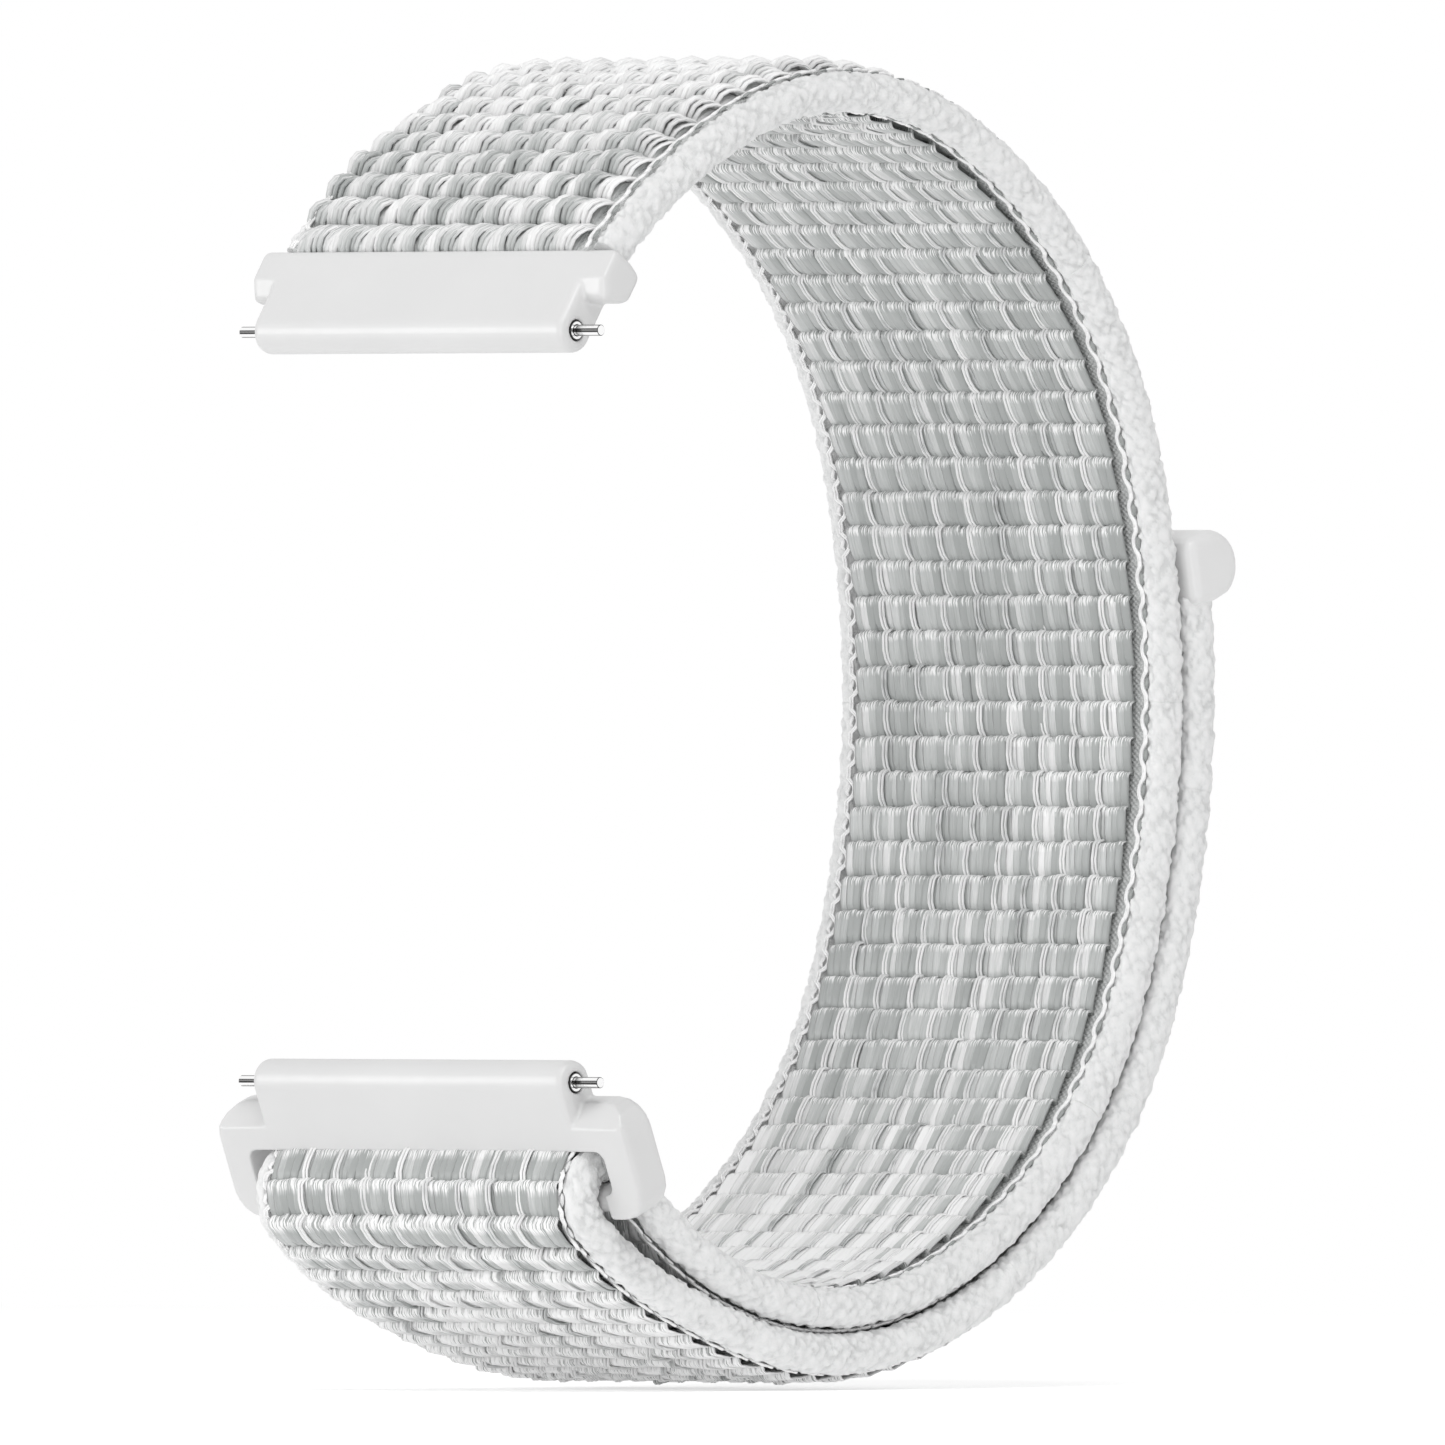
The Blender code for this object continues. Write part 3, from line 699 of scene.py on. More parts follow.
def make_backing():
    """Grey ground cloth between the rows."""
    made = Material("ground_cloth")
    run, across, _ = made.split(made.stored("cloth", "Vector"))
    warp = made.math("SINE", across * (2.0 * math.pi / 0.32))
    weft = made.math("SINE", run * (2.0 * math.pi / 0.28))
    weave = warp * weft
    mottle = made.noise(made.combine(run, across), 3.0, 3.0)[0]
    colour = made.ramp(weave * 0.18 + mottle * 0.4 + 0.3, (0.0, 0.5, 0.515, 0.51),
                       (1.0, 0.8, 0.81, 0.805))
    return made.finish(Base_Color=colour, Roughness=0.6, Normal=made.bump(weave, 0.6, 0.00005))


def make_braid():
    """Matte white braid, with painted shade: a little darker where its threads dive under each other.
    """
    made = Material("white_braid")
    plait = made.stored("plait", "Vector")
    yarn = made.noise(plait, 6.0, 4.0, 0.65)[0]
    fuzz = made.noise(made.scaled(plait, 5.0), 5.0, 3.0)[0]
    colour = made.ramp(made.stored("crest") + (yarn - 0.5) * 1.2, (0.0, 0.73, 0.735, 0.735),
                       (0.45, 0.835, 0.84, 0.84), (1.0, 0.9))
    return made.finish(Base_Color=colour, Roughness=0.85, Sheen_Weight=0.25, Sheen_Roughness=0.5,
                       Normal=made.bump(fuzz * 0.5 + yarn, 0.6, 0.00008))


def make_plastic(name, low, high):
    """Semi-gloss white moulding with a faint grain and slightly uneven gloss."""
    made = Material(name)
    grain, normal = made.grain(1400.0, 0.04)
    broad, _ = made.grain(160.0, 0.0)
    return made.finish(Base_Color=made.ramp(broad, (0.3, low), (0.7, high)),
                       Roughness=grain * 0.14 + 0.33, Normal=normal, Specular_IOR_Level=1.0)


def make_steel(name, level, roughness, depth):
    """Bright steel with fine turning lines round the bar, and painted reflections: dark where the bar
    faces the camera and where it turns away, bright between.
    """
    made = Material(name)
    _, across, _ = made.split(made.add("ShaderNodeTexCoord")["Object"])
    lines = made.noise(made.combine(0.0, across * 9000.0))[0]
    # Painted reflection: the colour follows how far the surface turns from the camera, not the lamps.
    facing = made.add("ShaderNodeLayerWeight", {"Blend": 0.5})["Facing"]
    dark = 0.06 * level
    colour = made.ramp((lines - 0.5) * 0.006 + facing, (0.0, dark), (0.308, dark), (0.318, level),
                       (0.58, level), (0.68, dark))
    return made.finish(Base_Color=colour, Metallic=1.0, Roughness=lines * 0.12 + roughness,
                       Normal=made.bump(lines, depth, 0.00001))


def make_shadow_line():
    """Near-black painted shadow: the dark ring of the gap round each tube's rim, and the dark line
    round each plunger's tip.
    """
    made = Material("blackened_steel")
    grain, normal = made.grain(3000.0, 0.1)
    colour = made.ramp(grain, (0.3, 0.008), (0.7, 0.02))
    return made.finish(Base_Color=colour, Roughness=0.5, Normal=normal)


def make_hook_nylon():
    """Clear-white nylon of the hook strip."""
    made = Material("hook_nylon")
    grain, normal = made.grain(2600.0, 0.2)
    colour = made.ramp(grain, (0.3, 0.72, 0.73, 0.73), (0.7, 0.84, 0.85, 0.85))
    return made.finish(Base_Color=colour, Roughness=grain * 0.2 + 0.3, Normal=normal)


FILAMENT = make_filament()
BINDER = make_binder()
BACKING = make_backing()
BRAID = make_braid()
PLASTIC = make_plastic("white_moulding", 0.675, 0.70)
# The tab's plastic is lighter than the adapters': partly a whiter plastic, partly painted light
# against the band's shade on it.
TAB_PLASTIC = make_plastic("white_tab_moulding", 0.75, 0.775)
STEEL = make_steel("bright_steel", 0.95, 0.10, 0.25)
WIRE = make_steel("spring_wire", 0.8, 0.28, 0.5)
SHADOW_LINE = make_shadow_line()
HOOK_NYLON = make_hook_nylon()


# Woven band

def make_laid_strands():
    """Tree: one thread after another across each row, each with its own tone and small faults."""
    tree = GeometryTree("laid_strands", {
        "Strand": "Geometry", "Count": 42, "Spacing": 0.4, "Side Shift": 0.0, "Face": 1.0,
        "Seat": 0.4, "Rise": 1.0, "Stagger": 0.06, "Drift": 0.03, "Height Spread": 0.1,
        "Puff": 0.0, "Puff Width": 2.0, "Puff Drift": 0.0, "Tone Level": 0.5, "Tone Spread": 0.3,
        "Patch Contrast": 3.2, "Far Tone": 0.0, "Edge Drop": 0.0, "Widening": 0.0,
        "Near Facing": 1.0, "Far Facing": 1.0, "Seed": 1, "Material": "Material"})
    given = tree.given
    seed = given["Seed"]
    half = (given["Count"] - 1.0) * given["Spacing"] * 0.5
    line = tree.add("GeometryNodeMeshLine", {
        "Count": given["Count"], "Start Location": tree.combine(y=given["Side Shift"] - half),
        "Offset": tree.combine(y=given["Spacing"])})[0]
    points = tree.realised(tree.instances(given["Geometry"], line))
    _, across, _ = tree.split(tree.position())
    far = tree.math("GREATER_THAN", across, 0.0)
    travel = tree.stored("travel", "FLOAT_VECTOR")
    outward = tree.scaled(tree.stored("outward", "FLOAT_VECTOR"), given["Face"])
    row = tree.stored("row")

    # Columns of light and dark yarn hold from row to row
    bundle = row * given["Puff Drift"] + across / given["Puff Width"] * math.pi
    wave = tree.math("SINE", bundle * 2.0)
    drift = tree.noise(tree.combine(across * 0.9, row * 0.15, given["Face"]))[0]
    patch = (drift - 0.5) * given["Patch Contrast"]
    mixed = wave * 0.42 + patch + tree.random(-0.13, 0.13, seed)
    tone = mixed * given["Tone Spread"] + given["Tone Level"]
    # The far tone lightens the far side's edge stitches, and with them the painted shadow in their
    # gaps.
    points = tree.store(points, "tone", far * given["Far Tone"] + tone)
    points = tree.store(points, "strand", tree.random(0.0, 1.0, seed + 1.0))

    # Threads puff up over each column and sink towards the near cord
    stagger, sway, lift = (tree.random(-1.0, 1.0, seed + step) for step in (2.0, 3.0, 4.0))
    bulge = tree.math("ABSOLUTE", tree.math("COSINE", bundle)) * 2.0 - 1.0
    edge = tree.math("MAXIMUM", across * -0.75 - 5.5, 0.0)
    height = bulge * given["Puff"] + lift * given["Height Spread"] + 1.0
    height = (height - edge * edge * given["Edge Drop"]) * given["Rise"]

    # The tail's threads spread a little, the far side's less than the near side's
    wider = across * tree.stored("slack") * given["Widening"] * (far * -0.6 + 1.0)
    facing = far * (given["Far Facing"] - given["Near Facing"]) + given["Near Facing"]
    turned = tree.add("FunctionNodeAxesToRotation", {
        "Primary Axis": tree.scaled(travel, facing), "Secondary Axis": outward},
        primary_axis="X", secondary_axis="Z")[0]
    shift = tree.moved(tree.scaled(travel, stagger * given["Stagger"]),
                       tree.combine(y=sway * given["Drift"] + wider))
    shift = tree.moved(shift, tree.scaled(outward, given["Seat"]))
    seated = tree.add("GeometryNodeSetPosition", {"Geometry": points, "Offset": shift})[0]
    size = tree.combine(1.0, 1.0, height)
    laid = tree.instances(seated, given["Strand"], Rotation=turned, Scale=size)
    return tree.finish(tree.coloured(tree.realised(laid), given["Material"]))


def make_woven_band():
    """Tree: both faces of the band, its binding threads, edge stitches and ground cloth."""
    helpers = ("Ground", "Flat Thread", "Puffed Thread", "Binding Thread", "Edge Stitch", "Row Core")
    tree = GeometryTree("woven_band", dict.fromkeys(helpers, "Object") | {
        "Flat Threads": FLAT_THREADS, "Flat Spacing": FLAT_SPACING, "Flat Shift": FLAT_SHIFT,
        "Puffed Threads": PUFFED_THREADS, "Puffed Spacing": PUFFED_SPACING,
        "Puffed Shift": PUFFED_SHIFT, "Bundle Width": COLUMN_WIDTH,
        "Stitch Centre": STITCH_CENTRE, "Seed": 3})
    given = tree.given

    def face(name, side):
        rise, tone = tree.stored(name + "_rise"), tree.stored(name + "_tone")
        return {"Face": side, "Rise": rise, "Tone Level": tone}

    def layer(thread, first, second):
        return tree.group(LAID_STRANDS, {
            "Geometry": given["Geometry"], "Strand": tree.shape_of(given[thread]),
            "Seat": THREAD_SEAT, "Puff Width": given["Bundle Width"], "Seed": given["Seed"],
            "Material": FILAMENT} | first | second)[0]

    flat, puffed = face("flat", -1.0), face("puffed", 1.0)
    core = {"Count": 1, "Spacing": 0.0, "Stagger": 0.0, "Drift": 0.0, "Height Spread": 0.0,
            "Tone Spread": 0.0}
    stitch = {"Count": 2, "Spacing": given["Stitch Centre"] * 2.0, "Drift": 0.02,
              "Height Spread": 0.0, "Far Tone": FAR_STITCH_TONE, "Tone Spread": 0.2,
              "Material": BINDER}
    return tree.finish(tree.joined([
        tree.shape_of(given["Ground"]),
        layer("Row Core", flat, core),
        layer("Row Core", puffed, core),
        layer("Flat Thread", flat, {
            "Count": given["Flat Threads"], "Spacing": given["Flat Spacing"],
            "Side Shift": given["Flat Shift"], "Puff": 0.05, "Height Spread": 0.03,
            "Tone Spread": 0.5, "Patch Contrast": 4.2, "Widening": TAIL_WIDENING}),
        layer("Puffed Thread", puffed, {
            "Count": given["Puffed Threads"], "Spacing": given["Puffed Spacing"],
            "Side Shift": given["Puffed Shift"], "Puff": 0.2, "Puff Drift": 0.5, "Edge Drop": 0.6,
            "Height Spread": 0.05, "Stagger": 0.09, "Drift": 0.06, "Tone Spread": 0.5}),
        layer("Binding Thread", flat, {
            "Count": 8, "Spacing": given["Bundle Width"], "Drift": 0.14, "Tone Level": 0.42,
            "Tone Spread": 0.5, "Material": BINDER}),
        layer("Edge Stitch", stitch, {
            "Face": -1.0, "Seat": STITCH_SEAT, "Near Facing": -1.0, "Far Facing": 1.0,
            "Tone Level": tree.stored("flat_stitch_tone")}),
        layer("Edge Stitch", stitch, {
            "Face": 1.0, "Seat": STITCH_SEAT_PUFFED, "Near Facing": 1.0, "Far Facing": -1.0,
            "Tone Level": tree.stored("puffed_stitch_tone")}),
    ]))


def make_braided_cord():
    """Tree: a closed cord along the given stations, with threads that pass over and under."""
    tree = GeometryTree("braided_cord", {
        "Across": CORD_CENTRE, "Half Width": CORD_HALF_WIDTH, "Half Thickness": CORD_HALF_THICKNESS,
        "Around": CORD_AROUND, "Threads": 7.0, "Plait Length": 0.85, "Thread Height": 0.13,
        "Unevenness": 1.3, "Scallop Height": 0.06, "Lightness": 0.0, "Material": "Material"})
    given = tree.given
    path = given["Geometry"]
    count = tree.add("GeometryNodeAttributeDomainSize", {"Geometry": path}, component="MESH")[0]
    steps = count - 1.0
    cylinder = tree.add("GeometryNodeMeshCylinder", {
        "Vertices": given["Around"], "Side Segments": steps, "Fill Segments": 1, "Radius": 1.0,
        "Depth": 1.0}, fill_type="NGON")
    x, y, z = tree.split(tree.position())
    index = tree.math("ROUND", (z + 0.5) * steps)
    angle = tree.math("ARCTAN2", y, x)
    cosine, sine = tree.math("COSINE", angle), tree.math("SINE", angle)

    def sampled(value, kind="FLOAT"):
        keys = {"Geometry": path, "Value": value, "Index": index}
        return tree.add("GeometryNodeSampleIndex", keys, data_type=kind)[0]

    def crown(value, power):
        wave = tree.math("COSINE", value * (2.0 * math.pi))
        return tree.math("POWER", wave * -0.5 + 0.5, power)

    place = sampled(tree.position(), "FLOAT_VECTOR")
    outward = sampled(tree.stored("outward", "FLOAT_VECTOR"), "FLOAT_VECTOR")
    run = sampled(tree.stored("run"))

    # Two families of threads wind in opposite directions and take turns on top
    wander = tree.split(tree.noise(tree.combine(run * 0.9, cosine, sine), 1.4)[1])
    around = angle * (given["Threads"] / (2.0 * math.pi)) + wander[0] * given["Unevenness"]
    along = run / given["Plait Length"] + wander[1] * given["Unevenness"]
    left, right = along + around, along - around
    turns = tree.math("FLOOR", left) + tree.math("FLOOR", right)
    odd = tree.math("FLOORED_MODULO", turns, 2.0)
    over_left = crown(left, 0.8) * crown(right, 0.3)
    over_right = crown(right, 0.8) * crown(left, 0.3)
    crest = over_left * odd + over_right * (1.0 - odd)
    crest = 1.0 - (1.0 - crest) * (wander[2] * 2.6 - 0.5)

    uneven = tree.noise(tree.combine(run * 0.8, cosine, sine), 1.6)[0]
    scallop = tree.math("ABSOLUTE", tree.math("SINE", run * (math.pi / ROW_PITCH)))
    rise = given["Thread Height"] * (crest - 1.0 + (uneven * 1.6 - 0.6))
    rise = rise + (scallop - 0.6) * given["Scallop Height"] - sampled(tree.stored("tuck"))
    sideways = sine * (given["Half Width"] + rise)
    upwards = cosine * (given["Half Thickness"] + rise)
    target = tree.moved(place, tree.scaled(outward, upwards))
    target = tree.moved(target, tree.combine(y=given["Across"] - sideways))
    # The stored crest paints shade into the braid's colour where its threads dive under, and the
    # painted light input lightens a whole cord.
    tube = tree.store(cylinder["Mesh"], "crest", crest + given["Lightness"])
    tube = tree.store(tube, "plait", tree.combine(run, cosine, sine), "FLOAT_VECTOR")
    shaped = tree.add("GeometryNodeSetPosition", {"Geometry": tube, "Position": target})[0]
    keys = {"Geometry": shaped, "Shade Smooth": cylinder["Side"]}
    smooth = tree.add("GeometryNodeSetShadeSmooth", keys)[0]
    return tree.finish(tree.coloured(smooth, given["Material"]))


LAID_STRANDS = make_laid_strands()
FOLD_START = arc_start("fold")


def changing(distance, span, first, last):
    """A value that changes evenly from its first to its last one over a span of stations."""
    share = (distance - span[0]) / (span[1] - span[0])
    return first + (last - first) * min(1.0, max(0.0, share))


def row_values(distance):
    """What the tree reads for a row: how far each face stands out and how light its threads are, with
    the painted light and shade that change along the band.
    """
    past_fold = distance - FOLD_START
    on_tail = past_fold > TAIL_FROM
    covered = distance > COVERED_FROM
    flat_rise = FLAT_RISE_TAIL if past_fold > IN_SLOT_LENGTH else FLAT_RISE
    if -UNDER_PLATE_BEFORE < past_fold < UNDER_PLATE_AFTER:
        flat_rise = FLAT_RISE_UNDER_PLATE
    flat_tone = changing(distance, BASE_SPAN, FLAT_TONE, FLAT_TONE_BASE)
    if on_tail:
        flat_tone = changing(past_fold, TAIL_SPAN, FLAT_TONE_FOLD, FLAT_TONE_TAIL)
    puffed_rise = changing(distance, EXIT_SPAN, PUFFED_RISE_AT_EXIT, PUFFED_RISE)
    puffed_tone = changing(distance, PUFFED_SPAN, PUFFED_TONE_AT_EXIT, PUFFED_TONE)
    return {
        "flat_rise": flat_rise,
        "puffed_rise": PUFFED_RISE_COVERED if covered else puffed_rise,
        "flat_tone": flat_tone,
        "puffed_tone": PUFFED_TONE_COVERED if covered else puffed_tone,
        "gleam": GLEAM,
        "slack": 1.0 if on_tail else 0.0,
        "flat_stitch_tone": STITCH_TONE_TAIL if on_tail else STITCH_TONE,
        "puffed_stitch_tone": STITCH_TONE_COVERED if covered else STITCH_TONE,
    }


def row_stations():
    """The stations of all rows, closer together where the fold's outer face opens out."""
    close_from = FOLD_START - CLOSE_ROWS_EARLIER
    close_to = arc_start("tail_root") - CLOSE_ROWS_EARLIER
    stations = []
    distance = FIRST_ROW
    while distance < ROUTE_LENGTH - TAB_GRIP:
        stations.append(distance)
        close = close_from < distance < close_to
        distance += ROW_PITCH * CLOSE_ROW_SHARE if close else ROW_PITCH
    return stations


def points_mesh(name, distances):
    """One point of the middle line for each station, with the direction that is outward there."""
    mesh = bpy.data.meshes.new(name)
    frames = [station_at(distance) for distance in distances]
    mesh.from_pydata([tuple(place) for place, _, _ in frames], [], [])
    store(mesh, "outward", [outward for _, _, outward in frames])
    return mesh


def rows_mesh(stations, first=0):
    """One point for each row, with the directions and heights that its threads follow."""
    mesh = points_mesh("rows", stations)
    store(mesh, "travel", [station_at(distance)[1] for distance in stations])
    store(mesh, "row", [float(first + index) for index in range(len(stations))], "FLOAT")
    values = [row_values(distance) for distance in stations]
    for name in values[0]:
        store(mesh, name, [value[name] for value in values], "FLOAT")
    return mesh


def path_mesh(start, end):
    """Stations for a cord, one for each ring. The last ring tucks into the next length of cord."""
    count = max(4, round((end - start) / CORD_STEP))
    distances = [start + (end - start) * index / count for index in range(count + 1)]
    distances.append(end + CORD_TUCK)
    mesh = points_mesh("path", distances)
    store(mesh, "run", distances, "FLOAT")
    store(mesh, "tuck", [0.0] * (count + 1) + [CORD_TUCK], "FLOAT")
    return mesh


def swept_strip(name, start, end, low, high, half_width, material):
    """A flat closed strip between two stations, from one height to another off the middle line."""
    count = max(2, math.ceil((end - start) / STRIP_STEP))
    inner = half_width - STRIP_CHAMFER
    under, over = low + STRIP_CHAMFER, high - STRIP_CHAMFER
    section = [(-half_width, under), (-inner, low), (0.0, low), (inner, low), (half_width, under),
               (half_width, over), (inner, high), (0.0, high), (-inner, high), (-half_width, over)]
    rings, cloth = [], []
    for index in range(count + 1):
        distance = start + (end - start) * index / count
        place, _, outward = station_at(distance)
        rings.append([place + outward * out + Vector((0.0, across, 0.0))
                      for across, out in section])
        cloth += [(distance, across, 0.0) for across, _ in section]
    mesh = lofted(name, rings, smooth=False)
    store(mesh, "cloth", cloth)
    mesh.materials.append(material)
    return new_object(name, mesh)


def lengths_between(start, end):
    """The CAD lengths of the band that a stretch of it stands for."""
    touch = 0.01
    names = [name for name, station, length, *_ in ARCS
             if station < end - touch and station + length > start + touch]
    return list(dict.fromkeys(names))


# Name, where it ends, body before its bend, body after its bend and station of the bend
STRETCHES = [
    ("exit", 6.0, "upper_adapter", "band_upper", 1.5),
    ("rise", 19.5, "band_upper", "band_crown", arc_start("crown")),
    ("crown", 37.5, "band_crown", "band_shoulder", arc_start("shoulder")),
    ("shoulder", 59.0, "band_shoulder", "band_closure", arc_start("side")),
    ("side", 80.0, "band_closure", None, None),
    ("turn", 101.0, "band_closure", None, None),
    ("base", 119.0, "band_closure", None, None),
    ("fold", 139.0, "band_closure", None, None),
    ("tail_root", 153.0, "band_closure", "tail_lower", arc_start("tail_lower")),
    ("tail_lower", 165.0, "tail_lower", "tail_middle", arc_start("tail_middle")),
    ("tail_middle", 180.0, "tail_middle", "tail_tip", arc_start("tail_tip")),
    ("tail_end", ROUTE_LENGTH, "tail_tip", None, None),
]
BEND_REACH = 3.2
EXIT_BEND_REACH = 1.5


def hold(piece, before, after, bend):
    """Makes a piece of the band follow one body. A piece at a bend stays where it is, with its
    transform baked into its mesh.
    """
    if after is None:
        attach(piece, before)
        return
    reach = EXIT_BEND_REACH if before == "upper_adapter" else BEND_REACH
    place_at(bend - reach)
    place_at(bend + reach)
    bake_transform(piece)


# A flat-face thread's line: a steep nose over the row before, then a long slope under the next
FLAT_LINE = [(-0.9, 0.0, 0.2), (-0.84, 0.0, 0.7), (-0.74, 0.0, 1.02), (-0.6, 0.0, 1.1),
             (-0.36, 0.0, 1.04), (0.04, 0.0, 0.98), (0.44, 0.0, 0.88), (0.76, 0.0, 0.68),
             (0.94, 0.0, 0.3)]


def puffed_line():
    """A puffed-face thread's line: a slanted arch that climbs out of the backing and dives in."""
    points = []
    for step in range(7):
        share = step / 3.0 - 1.0
        slant = -0.36 * math.sin(share * math.pi / 2.0)
        points.append((share * 0.98, slant, 1.0 - abs(share) ** 2.1))
    return points


def stitch_mesh():
    """An edge stitch: two threads that bow out from the cord, and a dark piece under them that paints
    the shadow in the gap.
    """
    bow = [(-0.95, 0.0, 0.3), (-0.56, 0.0, 0.33), (-0.42, 0.14, 0.28), (-0.22, 0.3, 0.2),
           (0.0, 0.35, 0.17), (0.22, 0.3, 0.2), (0.42, 0.14, 0.28), (0.56, 0.0, 0.33),
           (0.95, 0.0, 0.3)]
    second = [(x, across + 0.13, height - 0.03) for x, across, height in bow]
    hole = [(-0.34, 0.1, 0.2), (-0.12, 0.06, 0.26), (0.12, 0.0, 0.31), (0.34, 0.1, 0.2)]
    return together("edge_stitch", [
        strand_mesh("bow", bow, 0.08, 0.08, end_share=0.85),
        strand_mesh("second_bow", second, 0.065, 0.07, end_share=0.85),
        strand_mesh("hole", hole, 0.15, 0.06, end_share=0.2, painted_light=[-1.3] * 4)])


def binding_mesh():
    """Two fine binding threads side by side, bowed over the row."""
    parts = []
    for shift, girth in ((-0.1, 0.095), (0.1, 0.08)):
        line = [(1.06 * x, shift - 0.17 * (1.0 - (x / 0.9) ** 2), 1.06 * height + 0.04)
                for x, _, height in FLAT_LINE]
        parts.append(strand_mesh("binding_part", line, girth, 0.09, end_share=0.75))
    return together("binding_thread", parts)


def core_mesh():
    """The low ridge across a row that its threads lie on."""
    rising = [(-0.8, -0.1), (-0.8, 0.3), (-0.55, 0.66), (-0.2, 0.79)]
    profile = rising + [(-x, height) for x, height in reversed(rising)]
    inner = CORE_HALF_WIDTH - CORE_TAPER
    rings = [[(x, across, height * share) for x, height in profile] for across, share in (
        (-CORE_HALF_WIDTH, 0.5), (-inner, 1.0), (inner, 1.0), (CORE_HALF_WIDTH, 0.5))]
    mesh = lofted("row_core", rings, smooth=False)
    # Its mark of -0.1 is painted shade: the core shows only in the gaps between the threads.
    store(mesh, "fibre", [(point.co.x, point.co.y, -0.1) for point in mesh.vertices])
    return mesh


def build_band():
    """The whole woven band and both cords, cut into stretches."""
    woven = make_woven_band()
    braided = make_braided_cord()
    makers = {
        "Flat Thread": strand_mesh("flat_thread", FLAT_LINE, 0.33, 0.08, painted_light=FLAT_PAINTED_LIGHT),
        "Puffed Thread": strand_mesh(
            "puffed_thread", puffed_line(), 0.24, 0.12, painted_light=PUFFED_PAINTED_LIGHT),
        "Row Core": core_mesh(),
        "Binding Thread": binding_mesh(),
        "Edge Stitch": stitch_mesh(),
    }
    makers = {title: new_object(mesh.name, mesh) for title, mesh in makers.items()}
    cords = (("near", -CORD_CENTRE, 0.0), ("far", CORD_CENTRE, FAR_CORD_PAINTED_LIGHT))
    all_rows = row_stations()
    start = -WEB_END_DEPTH
    for name, end, before, after, bend in STRETCHES:
        inside = [distance for distance in all_rows if start <= distance < end]
        web_start, web_end = inside[0] - ROW_PITCH / 2.0, inside[-1] + ROW_PITCH / 2.0
        cord_start, cord_end = web_start, web_end
        if name == "exit":
            web_start, cord_start = start, CORD_START
        if name == "tail_end":
            web_end, cord_end = end - TAB_POCKET_END, end - TAB_GRIP + CORD_INTO_TAB
        ground = swept_strip(
            "ground", web_start, web_end, -GROUND_HALF, GROUND_HALF, GROUND_HALF_WIDTH, BACKING)
        rows = rows_mesh(inside, all_rows.index(inside[0]))
        mesh = run_tree("weave_" + name, rows, woven, dict(makers, Ground=ground))
        bpy.data.objects.remove(ground)
        piece = finished("weave_" + name, mesh)
        hold(piece, before, after, bend)
        stood_for = ["web_" + length for length in lengths_between(web_start, web_end)]
        if name == "exit":
            stood_for.append("web_end_in_adapter")
        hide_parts(*stood_for)
        for side, across, cord_light in cords:
            mesh = run_tree(side + "_braid_" + name, path_mesh(cord_start, cord_end), braided,
                            {"Across": across, "Lightness": cord_light, "Material": BRAID})
            cord = finished(side + "_braid_" + name, mesh)
            hold(cord, before, after, bend)
            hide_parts(*[side + "_cord_" + length for length in lengths_between(cord_start, cord_end)])
        start = end
    for maker in makers.values():
        bpy.data.objects.remove(maker)


# Mouldings

def flushed(mesh, centre, lean):
    """Brings an adapter's shoulder level with the front of its plate."""
    angle = math.radians(lean)
    inward = Vector((math.cos(angle), 0.0, -math.sin(angle)))
    front = Vector((centre[0], 0.0, centre[1])).dot(inward) - PLATE_HALF_DEPTH
    for point in mesh.vertices:
        proud = front - point.co.dot(inward)
        if proud > 0.0:
            point.co += inward * proud


def narrowed(mesh, centre):
    """Draws the bore of an adapter's barrel in round the fine bar."""
    for point in mesh.vertices:
        away = Vector((point.co.x - centre[0], 0.0, point.co.z - centre[1]))
        if away.length < BARREL_BORE_REACH:
            point.co -= away * (1.0 - BARREL_BORE / away.length)


def build_moulding(node, name, body, material, centre=None, lean=0.0):
    """A finer copy of a moulding with the soft edges of a real one."""
    work = bmesh.new()
    work.from_mesh(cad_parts[node].data)
    bmesh.ops.scale(work, vec=(1.0 / MM,) * 3, verts=work.verts)
    bmesh.ops.remove_doubles(work, verts=work.verts, dist=MERGE_DISTANCE)
    mesh = mesh_of(name, work)
    if centre:
        flushed(mesh, centre, lean)
        narrowed(mesh, centre)
    item = new_object(name + "_maker", mesh)
    remesh = item.modifiers.new("remesh", "REMESH")
    remesh.mode = "VOXEL"
    remesh.voxel_size = MOULDING_VOXEL
    remesh.use_smooth_shade = True
    smooth = item.modifiers.new("smooth", "SMOOTH")
    smooth.factor = 0.5
    smooth.iterations = MOULDING_SMOOTHING
    fewer = item.modifiers.new("fewer_faces", "DECIMATE")
    fewer.ratio = MOULDING_FACE_SHARE
    made = evaluated_mesh(item)
    made.materials.clear()
    made.materials.append(material)
    piece = finished(name, made)
    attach(piece, body)
    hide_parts(node)


# Spring bars

def turned(name, profile, centre, closed):
    """A turned steel piece round a bar's axis, from a line of distances across and radii."""
    work = bmesh.new()
    line = [work.verts.new((centre[0] + radius, across, centre[1])) for across, radius in profile]
    pairs = list(zip(line, line[1:]))
    if closed:
        pairs.append((line[-1], line[0]))
    edges = [work.edges.new(pair) for pair in pairs]
    bmesh.ops.spin(work, geom=line + edges, cent=(centre[0], 0.0, centre[1]), axis=(0.0, 1.0, 0.0),
                   angle=2.0 * math.pi, steps=TURNED_STEPS, use_merge=True)
    bmesh.ops.remove_doubles(work, verts=work.verts, dist=0.0005)
    bmesh.ops.recalc_face_normals(work, faces=work.faces)
    mesh = mesh_of(name, work)
    shade(mesh, True)
    mesh.set_sharp_from_angle(angle=math.radians(25.0))
    mesh.materials.append(STEEL)
    return finished(name, mesh)


